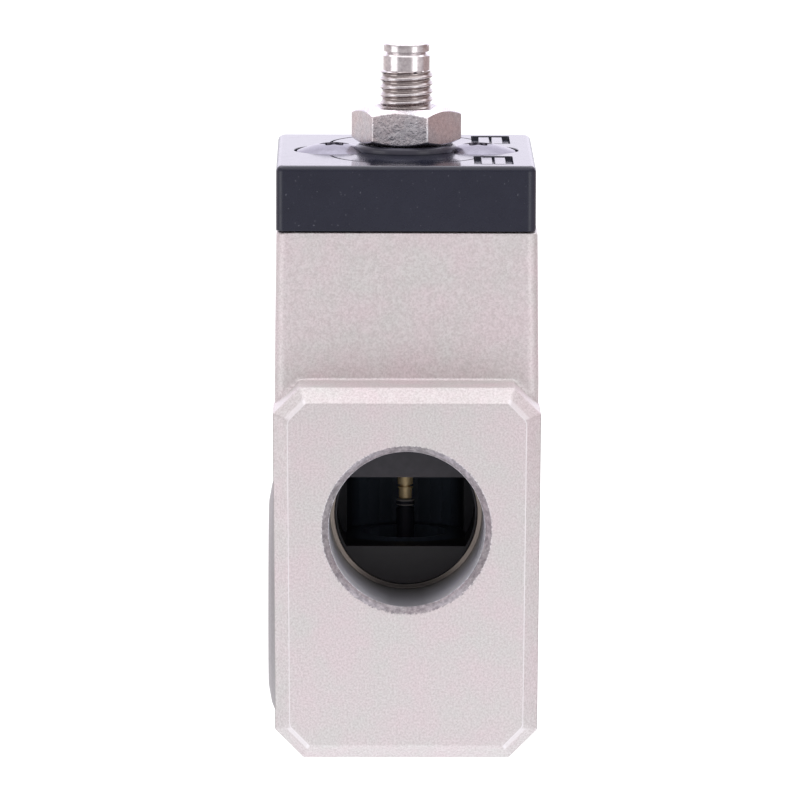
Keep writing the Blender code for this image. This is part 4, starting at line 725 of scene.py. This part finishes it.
def build_bottom_plug():
    """Plug that closes the main bore, hollow below, with a tower that guides the poppet."""
    foot, top = levels("bottom_plug")
    flange_top = foot + 5.5
    disc_top = flange_top + 4.3
    profile = [(0, foot + 2.3), (11.0, foot + 2.3, 0.4), (11.0, foot, 0.3), (15.3, foot, 0.3)]
    profile += [(15.3, flange_top, 0.1), (13.7, flange_top), (13.7, disc_top, 0.3)]
    profile += [(4.6, disc_top, 0.3), (4.6, top, 0.2), (3.0, top, 0.2), (3.0, top - 7.5, 0.3)]
    profile.append((0, top - 7.5))
    return new_object("plug_bottom", turned(profile, steps=3))


def build_retaining_ring():
    """Spring ring with two eyes for its pliers."""
    foot, top = (corner[2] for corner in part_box("retaining_ring"))
    outer, inner = 16.4 * MM, 13.4 * MM
    half_gap = math.radians(21)
    edge = 0.12 * MM
    steps = 72
    sweep = math.tau - 2 * half_gap
    angles = [half_gap + sweep * step / steps for step in range(steps + 1)]
    path = [polar(outer, angle) for angle in angles]
    path += [polar(inner, angle) for angle in reversed(angles)]
    loops = []
    for narrow, level in ((edge, foot), (0.0, foot + edge), (0.0, top - edge), (edge, top)):
        loops.append([(x, y, level) for x, y in inset(path, narrow)])
    eyes = []
    for side in (-1, 1):
        x, y = polar((outer + inner) / 2, half_gap + math.radians(4))
        eye = prism(circle(0.8 * MM, 24), foot - 1 * MM, top + 1 * MM)
        eyes.append(("DIFFERENCE", moved(eye, x=x, y=side * y)))
    return carved("ring_retaining", loft(loops), eyes)


def build_gauge_plug():
    """Plug in the gauge pad with a hexagon socket."""
    face = -GAUGE_LOW[0] / MM
    profile = [(0, face - 8.0), (4.6, face - 8.0, 0.5), (4.6, face - 1.1), (6.9, face - 1.1)]
    profile += [(6.9, face - 2.5), (7.7, face - 2.5, 0.1), (7.7, face, 0.4)]
    profile += [(3.3, face, 0.1), (2.95, face - 0.3), (0, face - 0.3)]
    socket = along_x(prism(hexagon(5 * MM), (face - 4.5) * MM, (face + 1) * MM))
    return carved("plug_gauge", along_x(turned(profile)), [("DIFFERENCE", socket)])


# Materials


def material(name, colour, roughness, metallic):
    """A Principled material. Returns it with its node tree and shader."""
    made = bpy.data.materials.new(name)
    made.use_nodes = True
    tree = made.node_tree
    shader = tree.nodes["Principled BSDF"]
    shader.inputs["Base Color"].default_value = (*colour, 1.0)
    shader.inputs["Roughness"].default_value = roughness
    shader.inputs["Metallic"].default_value = metallic
    return made, tree, shader


def noise(tree, scale, detail=4.0, roughness=0.6, stretch=None):
    """Noise in object space. stretch scales the axes for brushed or grained finishes."""
    place = tree.nodes.new("ShaderNodeTexCoord")
    node = tree.nodes.new("ShaderNodeTexNoise")
    node.inputs["Scale"].default_value = scale
    node.inputs["Detail"].default_value = detail
    node.inputs["Roughness"].default_value = roughness
    source = place.outputs["Object"]
    if stretch:
        mapping = tree.nodes.new("ShaderNodeMapping")
        mapping.inputs["Scale"].default_value = stretch
        tree.links.new(source, mapping.inputs["Vector"])
        source = mapping.outputs["Vector"]
    tree.links.new(source, node.inputs["Vector"])
    return node.outputs["Fac"]


def ramp(tree, source, *stops):
    """A colour ramp. Each stop is (position, colour or grey value)."""
    node = tree.nodes.new("ShaderNodeValToRGB")
    elements = node.color_ramp.elements
    while len(elements) < len(stops):
        elements.new(0.5)
    for element, (position, colour) in zip(elements, stops):
        element.position = position
        shade = colour if isinstance(colour, tuple) else (colour, colour, colour)
        element.color = (*shade, 1.0)
    tree.links.new(source, node.inputs["Fac"])
    return node.outputs["Color"]


def mixed(tree, share, first, second, kind="MIX"):
    """Mix two colours. share, first and second are sockets or constants."""
    node = tree.nodes.new("ShaderNodeMix")
    node.data_type = "RGBA"
    node.blend_type = kind
    for number, value in ((0, share), (6, first), (7, second)):
        if isinstance(value, bpy.types.NodeSocket):
            tree.links.new(value, node.inputs[number])
        elif isinstance(value, tuple):
            node.inputs[number].default_value = (*value, 1.0)
        else:
            node.inputs[number].default_value = value
    return node.outputs[2]


def tinted(tree, first, second):
    """Multiply two colours."""
    return mixed(tree, 1.0, first, second, "MULTIPLY")


def finished(tree, shader, colour, rough=None):
    """Drive the shader's colour, and its roughness too where it is given."""
    tree.links.new(colour, shader.inputs["Base Color"])
    if rough is not None:
        tree.links.new(rough, shader.inputs["Roughness"])


def bumped(tree, shader, height, strength, distance):
    """Drive the shader's normal with a height. Returns the bump node."""
    node = tree.nodes.new("ShaderNodeBump")
    node.inputs["Strength"].default_value = strength
    node.inputs["Distance"].default_value = distance
    tree.links.new(height, node.inputs["Height"])
    tree.links.new(node.outputs["Normal"], shader.inputs["Normal"])
    return node


def calculated(tree, operation, first, second=None):
    """A Math node on sockets or constants."""
    node = tree.nodes.new("ShaderNodeMath")
    node.operation = operation
    for socket, value in zip(node.inputs, (first, second)):
        if isinstance(value, bpy.types.NodeSocket):
            tree.links.new(value, socket)
        elif value is not None:
            socket.default_value = value
    return node.outputs[0]


def product(tree, first, *others):
    """Several factors multiplied."""
    for factor in others:
        first = calculated(tree, "MULTIPLY", first, factor)
    return first


def distance(tree, first, second):
    """Length of a vector with two components."""
    squares = calculated(tree, "ADD", product(tree, first, first), product(tree, second, second))
    return calculated(tree, "SQRT", squares)


def mapped(tree, source, low, high, to_low=0.0, to_high=1.0):
    """Map a range of values to another, held at its ends."""
    node = tree.nodes.new("ShaderNodeMapRange")
    node.inputs["From Min"].default_value = low
    node.inputs["From Max"].default_value = high
    node.inputs["To Min"].default_value = to_low
    node.inputs["To Max"].default_value = to_high
    tree.links.new(source, node.inputs["Value"])
    return node.outputs[0]


def split_coordinates(tree, kind="Object"):
    """Separate X, Y and Z of a coordinate."""
    place = tree.nodes.new("ShaderNodeTexCoord")
    split = tree.nodes.new("ShaderNodeSeparateXYZ")
    tree.links.new(place.outputs[kind], split.inputs[0])
    return split.outputs["X"], split.outputs["Y"], split.outputs["Z"]


def from_port_axis(tree, wander):
    """Distance from the axis of the two ports, with a little wander to roughen its bounds."""
    x, y, z = split_coordinates(tree)
    radius = distance(tree, x, calculated(tree, "SUBTRACT", z, PORT_LEVEL))
    shift = mapped(tree, noise(tree, 2000, 3.0), 0.3, 0.7, -wander, wander)
    radius = calculated(tree, "ADD", radius, shift)
    depth = calculated(tree, "ABSOLUTE", y)
    in_port = calculated(tree, "GREATER_THAN", depth, PORT_WALL_Y - 1.0 * MM)
    return calculated(tree, "ADD", radius, calculated(tree, "SUBTRACT", 1.0, in_port))


def casting_painted_light(tree, colour):
    """Paint light and shade on the casting: painted shade on faces turned sideways, a painted
    highlight on the bevels' ridge, the dark line behind them and painted shade on the pad's rim.
    """
    x, y, z = split_coordinates(tree)
    depth = calculated(tree, "ABSOLUTE", y)
    sideways = calculated(tree, "ABSOLUTE", split_coordinates(tree, "Normal")[0])
    # Painted shade: faces turned sideways, the bevels and sides, are darkened a little.
    colour = tinted(tree, colour, mapped(tree, sideways, 0.35, 0.75, 1.0, 0.92))
    # Painted highlight: a pale line where the shading normal turns from the flange's face to its
    # bevel.
    ridge_highlight = product(
        tree,
        mapped(tree, sideways, 0.15, 0.3),
        mapped(tree, sideways, 0.6, 0.45),
        mapped(tree, depth, 39 * MM, 39.3 * MM),
    )
    colour = mixed(tree, ridge_highlight, colour, (0.93, 0.90, 0.91))
    bevel_root = FACE_Y - FLANGE_BEVEL
    behind = mapped(tree, depth, bevel_root - 1.0 * MM, bevel_root - 0.8 * MM)
    line = product(tree, behind, mapped(tree, sideways, 0.80, 0.90), 0.6)
    colour = mixed(tree, line, colour, (0.16, 0.15, 0.14))
    around = distance(tree, y, calculated(tree, "SUBTRACT", z, PAD_LEVEL))
    # Painted shade: the wall round the pad's rim is darkened.
    pad_rim_shade = product(
        tree,
        mapped(tree, x, -24.35 * MM, -24.5 * MM),
        mapped(tree, depth, 30 * MM, 29 * MM),
        mapped(tree, around, PAD_RADIUS - 5.8 * MM, PAD_RADIUS - 4.8 * MM),
        mapped(tree, around, PAD_RADIUS + 0.2 * MM, PAD_RADIUS + 0.1 * MM),
    )
    return mixed(tree, pad_rim_shade, colour, (0.36, 0.345, 0.35))


def recess_painted_shade(tree):
    """The port's wall with painted shade: darker deep in the recess and at the shoulder's lower
    part, paler towards the mouth and lighter at its sides.
    """
    x, y, z = split_coordinates(tree)
    depth = calculated(tree, "ABSOLUTE", y)
    # Painted shade: the wall darkens with depth into the recess.
    wall = ramp(
        tree,
        mapped(tree, depth, PORT_SHOULDER_Y, FACE_Y),
        (0.0, (0.20, 0.175, 0.15)),
        (0.012, 0.07),
        (0.07, 0.20),
        (0.5, (0.43, 0.43, 0.46)),
        (1.0, (0.76, 0.76, 0.80)),
    )
    # Painted light: the wall is lighter towards its sides.
    sides = mapped(tree, calculated(tree, "ABSOLUTE", x), 3 * MM, 10 * MM, 0.85, 1.9)
    wall = tinted(tree, wall, sides)
    # Painted shade in the crevice at the shoulder's lower part.
    shoulder = mapped(tree, depth, PORT_SHOULDER_Y + 0.3 * MM, PORT_SHOULDER_Y + 0.1 * MM)
    low = mapped(tree, z, PORT_LEVEL - 9 * MM, PORT_LEVEL - 13.5 * MM)
    return mixed(tree, product(tree, shoulder, low), wall, (0.05, 0.045, 0.04))


def casting_material():
    """Bare die-cast metal: fine speckle, faint pink and green mottling, worn rims, and painted
    light and shade on the bevels, the pad's rim and the port's wall.
    """
    made, tree, shader = material("die_casting", (0.6, 0.57, 0.56), 0.5, 0.55)
    dark, light = (0.70, 0.645, 0.64), (0.88, 0.83, 0.83)
    speckle = ramp(tree, noise(tree, 2600, 3.0, 0.7), (0.36, dark), (0.64, light))
    green, pink = (0.95, 0.99, 0.97), (1.0, 0.965, 0.98)
    patches = ramp(tree, noise(tree, 120, 3.0), (0.35, green), (0.65, pink))
    colour = casting_painted_light(tree, tinted(tree, speckle, patches))
    bound = from_port_axis(tree, 0.22 * MM)
    rim = mapped(tree, bound, PORT_RADIUS + 1.40 * MM, PORT_RADIUS + 1.20 * MM)
    dark, light = (0.40, 0.385, 0.41), (0.72, 0.70, 0.73)
    worn = ramp(tree, noise(tree, 1100, 2.0), (0.36, dark), (0.68, light))
    colour = mixed(tree, rim, colour, tinted(tree, colour, worn))
    bound = from_port_axis(tree, 0.06 * MM)
    recess = mapped(tree, bound, PORT_RADIUS + 0.14 * MM, PORT_RADIUS)
    colour = mixed(tree, recess, colour, recess_painted_shade(tree))
    rough = ramp(tree, noise(tree, 1800, 2.0), (0.3, 0.40), (0.7, 0.62))
    rough = mixed(tree, recess, rough, (0.36, 0.36, 0.36))
    finished(tree, shader, colour, rough)
    tree.links.new(mapped(tree, recess, 0.0, 1.0, 0.55, 0.5), shader.inputs["Metallic"])
    bumped(tree, shader, noise(tree, 2200, 4.0, 0.7), 0.35, 0.12 * MM)
    return made


def cover_material():
    """Black moulded plastic with a faint blue tint, a polished top, tiny specks and painted light
    on the raised boss.
    """
    made, tree, shader = material("moulded_black", (0.016, 0.018, 0.030), 0.3, 0.0)
    specks = ramp(tree, noise(tree, 1900, 1.0), (0.74, 0.0), (0.78, 1.0))
    dark, light = (0.0115, 0.014, 0.029), (0.016, 0.019, 0.036)
    tint = ramp(tree, noise(tree, 140, 3.0), (0.3, dark), (0.7, light))
    colour = mixed(tree, specks, tint, (0.10, 0.105, 0.13))
    level = split_coordinates(tree)[2]
    # Painted light: the boss above the cover's top is lightened.
    raised = mapped(tree, level, COVER_HIGH[2] + 0.05 * MM, COVER_HIGH[2] + 0.2 * MM)
    boss_painted_light = mixed(tree, 1.0, colour, (0.070, 0.068, 0.080), "ADD")
    colour = mixed(tree, raised, colour, boss_painted_light)
    top = mapped(tree, level, COVER_HIGH[2] - 0.5 * MM, COVER_HIGH[2] - 0.1 * MM)
    sides = ramp(tree, noise(tree, 700, 4.0), (0.35, 0.24), (0.7, 0.34))
    polish = ramp(tree, noise(tree, 500, 3.0), (0.3, 0.09), (0.75, 0.15))
    finished(tree, shader, colour, mixed(tree, top, sides, polish))
    bumped(tree, shader, noise(tree, 900, 4.0, 0.6), 0.015, 0.1 * MM)
    return made


def steel_material(name, pits, roughness, thread=False, sparkle=False):
    """Plated steel. thread darkens the roots of a thread, sparkle pits the nut's front flat and
    paints it lighter as painted light.
    """
    made, tree, shader = material(name, (0.68, 0.65, 0.65), roughness, 1.0)
    dark, light = (0.60, 0.565, 0.575), (0.81, 0.775, 0.775)
    shade = ramp(tree, noise(tree, 1500, 3.0), (0.3, dark), (0.7, light))
    x, y, z = split_coordinates(tree)
    if thread:
        # The thread's roots are darker, the crests and the thread's upper end keep the plain shade.
        radius = distance(tree, x, y)
        crests_and_end = mapped(tree, radius, THREAD_RADIUS - 0.16 * MM, THREAD_RADIUS - 0.02 * MM)
        head = mapped(tree, z, THREAD_TOP - 0.3 * MM, THREAD_TOP)
        crests_and_end = calculated(tree, "MAXIMUM", crests_and_end, head)
        darker_roots = mixed(tree, crests_and_end, (0.52, 0.48, 0.46), (1.0, 1.0, 1.0))
        shade = tinted(tree, shade, darker_roots)
    rough = ramp(tree, noise(tree, 900, 3.0), (0.3, roughness * 0.8), (0.7, roughness * 1.35))
    bump = bumped(tree, shader, noise(tree, 1150, 3.0, 0.7), 1.0, pits)
    if sparkle:
        front = (math.sin(NUT_TURN), -math.cos(NUT_TURN))
        ahead = calculated(tree, "ADD", product(tree, x, front[0]), product(tree, y, front[1]))
        reach = (9.05 * MM, 9.12 * MM)
        strength = mapped(tree, ahead, *reach, 0.15, 1.0)
        tree.links.new(strength, bump.inputs["Strength"])
        pink, blue = (1.0, 0.93, 0.93), (0.93, 0.97, 1.0)
        bloom_and_front_light = ramp(tree, noise(tree, 170, 2.0), (0.35, pink), (0.65, blue))
        # Painted light: the front flat is made up to 15 % lighter than the other flats.
        bloom_and_front_light = tinted(tree, bloom_and_front_light, mapped(tree, ahead, *reach, 1.0, 1.15))
        shade = tinted(tree, shade, bloom_and_front_light)
    finished(tree, shader, shade, rough)
    return made


def plain_metal(name, colour, roughness, metallic=1.0):
    """Machined metal with faint variation."""
    made, tree, shader = material(name, colour, roughness, metallic)
    grain = 800
    dark = tuple(channel * 0.82 for channel in colour)
    shade = ramp(tree, noise(tree, grain, 3.0, 0.6, (1, 1, 0.15)), (0.3, dark), (0.7, colour))
    rough = ramp(tree, noise(tree, grain, 2.0), (0.3, roughness * 0.8), (0.7, roughness * 1.25))
    finished(tree, shader, shade, rough)
    return made


def dull_material(name, colour, roughness):
    """Moulded plastic or rubber with a fine grain."""
    made, tree, shader = material(name, colour, roughness, 0.0)
    grain = 600
    light = tuple(channel * 1.5 for channel in colour)
    shade = ramp(tree, noise(tree, grain, 3.0), (0.3, colour), (0.75, light))
    rough = ramp(tree, noise(tree, grain, 2.0), (0.3, roughness * 0.85), (0.7, roughness * 1.15))
    finished(tree, shader, shade, rough)
    bumped(tree, shader, noise(tree, grain * 2, 3.0), 0.08, 0.1 * MM)
    return made


def plate_material():
    """Black plastic, lighter where it faces the floor's light above the slot, near black as painted
    shade inside the slot.
    """
    made, tree, shader = material("black_plate", (0.012, 0.012, 0.014), 0.5, 0.0)
    y, z = split_coordinates(tree)[1:]
    upper = mapped(tree, z, PORT_LEVEL - MM, PORT_LEVEL + MM)
    dark, light = (0.75, 0.75, 0.78), (1.1, 1.1, 1.1)
    grain = ramp(tree, noise(tree, 500, 3.0), (0.3, dark), (0.7, light))
    colour = mixed(tree, upper, (0.009, 0.009, 0.0105), (0.048, 0.046, 0.053))
    colour = tinted(tree, colour, grain)
    # Painted shade: behind the plate's front face, inside the slot, it is near black.
    slot_shade = mapped(tree, y, -19.3 * MM, -19.1 * MM)
    colour = mixed(tree, slot_shade, colour, (0.001, 0.001, 0.0014))
    finished(tree, shader, colour)
    return made


def cage_material():
    """Dark moulding, lighter in the middle where the outlet's light reaches it."""
    made, tree, shader = material("black_cage", (0.02, 0.03, 0.04), 0.6, 0.0)
    aside = calculated(tree, "ABSOLUTE", split_coordinates(tree)[0])
    share = mapped(tree, aside, 8.5 * MM, 10.5 * MM)
    colour = mixed(tree, share, (0.065, 0.085, 0.115), (0.010, 0.013, 0.018))
    finished(tree, shader, colour)
    return made


def poppet_material():
    """Dark moulding whose stem has two lighter edges, painted highlights."""
    dark = (0.012, 0.013, 0.021)
    made, tree, shader = material("black_poppet", dark, 0.6, 0.0)
    shader.inputs["Specular IOR Level"].default_value = 0.25
    level = split_coordinates(tree)[2]
    top = levels("poppet")[1] * MM
    # Painted highlight: two thin lighter rings at the stem's upper edges.
    upper = mapped(tree, level, top - 0.22 * MM, top - 0.10 * MM)
    above = mapped(tree, level, top - 1.12 * MM, top - 1.0 * MM)
    below = mapped(tree, level, top - 0.8 * MM, top - 0.92 * MM)
    edges = calculated(tree, "MAXIMUM", upper, product(tree, above, below))
    colour = mixed(tree, edges, dark, (0.45, 0.44, 0.42))
    finished(tree, shader, colour)
    return made


MATERIALS = {
    "housing": casting_material(),
    "cover": cover_material(),
    "black_steel": plain_metal("dark_plated_screw", (0.25, 0.241, 0.29), 0.22),
    "nut": steel_material("plated_nut", 0.24 * MM, 0.24, sparkle=True),
    "spindle": steel_material("plated_spindle", 0.006 * MM, 0.15, thread=True),
    "plated_steel": steel_material("plated_plug", 0.024 * MM, 0.25),
    "spring_steel": plain_metal("spring_steel_grey", (0.36, 0.36, 0.37), 0.3),
    "brass": plain_metal("turned_brass", (0.80, 0.60, 0.30), 0.28),
    "aluminium": plain_metal("turned_aluminium", (0.74, 0.74, 0.75), 0.3),
    "insert": dull_material("black_insert", (0.012, 0.012, 0.014), 0.5),
    "plate": plate_material(),
    "stem": plain_metal("stem_brass_dull", (0.98, 0.77, 0.43), 0.45, metallic=0.5),
    "poppet": poppet_material(),
    "cage": cage_material(),
    "rubber": dull_material("black_rubber", (0.010, 0.010, 0.011), 0.18),
}

dressed(build_housing(), "housing", "housing", "valve_body")
dressed(build_cover(), "cover", "housing", "top_cover")
for side, word in ((-1, "left"), (1, "right")):
    screw = build_screw(side, word)
    dressed(screw, "black_steel", "housing", "cover_screw_" + word)
dressed(build_spindle(), "spindle", "spindle", "adjusting_spindle", 40)
dressed(build_nut(), "nut", "lock_nut", "lock_nut", 28)
dressed(build_nut_ring(), "rubber", "nut_ring", "nut_seal_ring")
dressed(build_outlet_insert(), "plate", "housing", "outlet_insert")
dressed(build_stem(), "stem", "main_valve", "piston_stem")
dressed(build_poppet(), "poppet", "main_valve", "poppet")
dressed(build_bottom_plug(), "insert", "housing", "bottom_plug")
dressed(build_retaining_ring(), "spring_steel", "housing", "retaining_ring")
dressed(build_gauge_plug(), "plated_steel", "housing", "gauge_plug")

# CAD nodes that keep their shape and get a better finish
CARRIED_OVER = {
    "rubber": [
        "cover_gasket", "spindle_seal", "cage_seal_lower", "cage_seal_upper", "stem_seal",
        "bottom_plug_seal", "gauge_plug_seal", "piston_seal", "poppet_facing",
    ],
    "brass": ["spindle_bushing", "throttle_seat", "valve_seat", "stem_guide"],
    "cage": ["valve_cage"],
    "spring_steel": ["poppet_spring", "piston_clip", "spindle_stop_ring"],
    "aluminium": ["piston"],
}
for finish, names in CARRIED_OVER.items():
    for name in names:
        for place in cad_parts[name].material_slots:
            place.material = MATERIALS[finish]

# Studio

# Brightness and tint of the surroundings by bearing: 0 is the camera's side, 90 is +X
SURROUNDINGS = (
    (-180, (1.05, 1.05, 1.07)), (-158, (0.95, 0.93, 0.93)), (-140, (0.70, 0.62, 0.62)),
    (-86, (0.54, 0.49, 0.51)), (-76, (1.80, 1.77, 1.80)), (-54, (1.80, 1.77, 1.80)),
    (-42, (0.50, 0.48, 0.50)), (-28, (0.47, 0.435, 0.45)), (12, (0.47, 0.435, 0.45)),
    (24, (0.55, 0.52, 0.53)), (34, (1.80, 1.77, 1.80)), (49, (1.80, 1.77, 1.80)),
    (58, (0.75, 0.70, 0.72)), (86, (0.52, 0.46, 0.48)), (96, (0.39, 0.29, 0.285)),
    (142, (0.39, 0.29, 0.285)), (158, (0.90, 0.88, 0.88)), (180, (1.05, 1.05, 1.07)),
)
BRIGHTEST = 2.4
SEEN_WHITE = (1.1, 1.1, 1.1)


def shared(colour):
    """A colour as a share of the brightest light, because ramps and mixes end at 1."""
    return tuple(channel / BRIGHTEST for channel in colour)


def surround_colour(tree, x, y):
    """Colour of the surroundings at a bearing, as a share of the brightest."""
    bearing = calculated(tree, "ARCTAN2", x, product(tree, y, -1.0))
    stops = [((degrees + 180.0) / 360.0, shared(colour)) for degrees, colour in SURROUNDINGS]
    return ramp(tree, mapped(tree, bearing, -math.pi, math.pi), *stops)


def white_to_camera(tree, colour):
    """White where the camera looks, and the given light for everything else."""
    seen = tree.nodes.new("ShaderNodeLightPath").outputs["Is Camera Ray"]
    return mixed(tree, seen, colour, shared(SEEN_WHITE))


def build_floor():
    """A wide white floor, which fades into the surroundings away from the part."""
    shape = bmesh.new()
    shape.faces.new([shape.verts.new((x, y, 0.0)) for x, y in rectangle(3.0, 3.0)])
    floor = new_object("studio_floor", shape)
    made, tree, shader = material("studio_floor_white", (0.1, 0.1, 0.1), 0.8, 0.0)
    shader.inputs["Specular IOR Level"].default_value = 0.0
    x, y = split_coordinates(tree)[:2]
    away = mapped(tree, distance(tree, x, y), 0.10, 0.45)
    lit = mixed(tree, away, shared((1.0, 0.99, 1.03)), surround_colour(tree, x, y))
    tree.links.new(white_to_camera(tree, lit), shader.inputs["Emission Color"])
    shader.inputs["Emission Strength"].default_value = BRIGHTEST
    floor.data.materials.append(made)


def build_world():
    """Soft surroundings: panels beside the camera, brighter behind and overhead."""
    world = bpy.data.worlds.new("studio_world")
    bpy.context.scene.world = world
    world.use_nodes = True
    tree = world.node_tree
    background = tree.nodes["Background"]
    x, y, z = split_coordinates(tree, "Generated")
    calm = product(tree, mapped(tree, z, 0.02, 0.10), mapped(tree, y, 0.6, 0.4))
    light = surround_colour(tree, x, y)
    light = mixed(tree, calm, light, shared((0.64, 0.61, 0.63)), "DARKEN")
    low_back = product(tree, mapped(tree, y, 0.50, 0.80), mapped(tree, z, 0.74, 0.60))
    light = mixed(tree, low_back, light, shared((1.47, 1.41, 1.60)))
    overhead = mapped(tree, z, 0.55, 0.85)
    light = mixed(tree, overhead, light, shared((1.52, 1.48, 1.52)))
    high_back = product(tree, mapped(tree, y, 0.10, 0.30), mapped(tree, z, 0.60, 0.74))
    light = mixed(tree, high_back, light, shared((2.3, 2.25, 2.4)))
    tree.links.new(white_to_camera(tree, light), background.inputs["Color"])
    background.inputs["Strength"].default_value = BRIGHTEST


def build_camera():
    """A long lens a little above the part, tipped down 8 degrees."""
    photo_width = 800
    focal_pixels = 8455
    data = bpy.data.cameras.new("photo_camera")
    data.sensor_width = 36.0
    data.lens = focal_pixels / photo_width * data.sensor_width
    data.clip_end = 20.0
    camera = bpy.data.objects.new("photo_camera", data)
    camera.location = (-0.0113, -1.589, 0.28807)
    tip, roll, turn = 8.096, -0.15, -0.348
    camera.rotation_euler = [math.radians(angle) for angle in (90 - tip, roll, turn)]
    bpy.context.scene.collection.objects.link(camera)
    bpy.context.scene.camera = camera


build_floor()
build_world()
build_camera()
bpy.context.scene.view_settings.view_transform = "Standard"
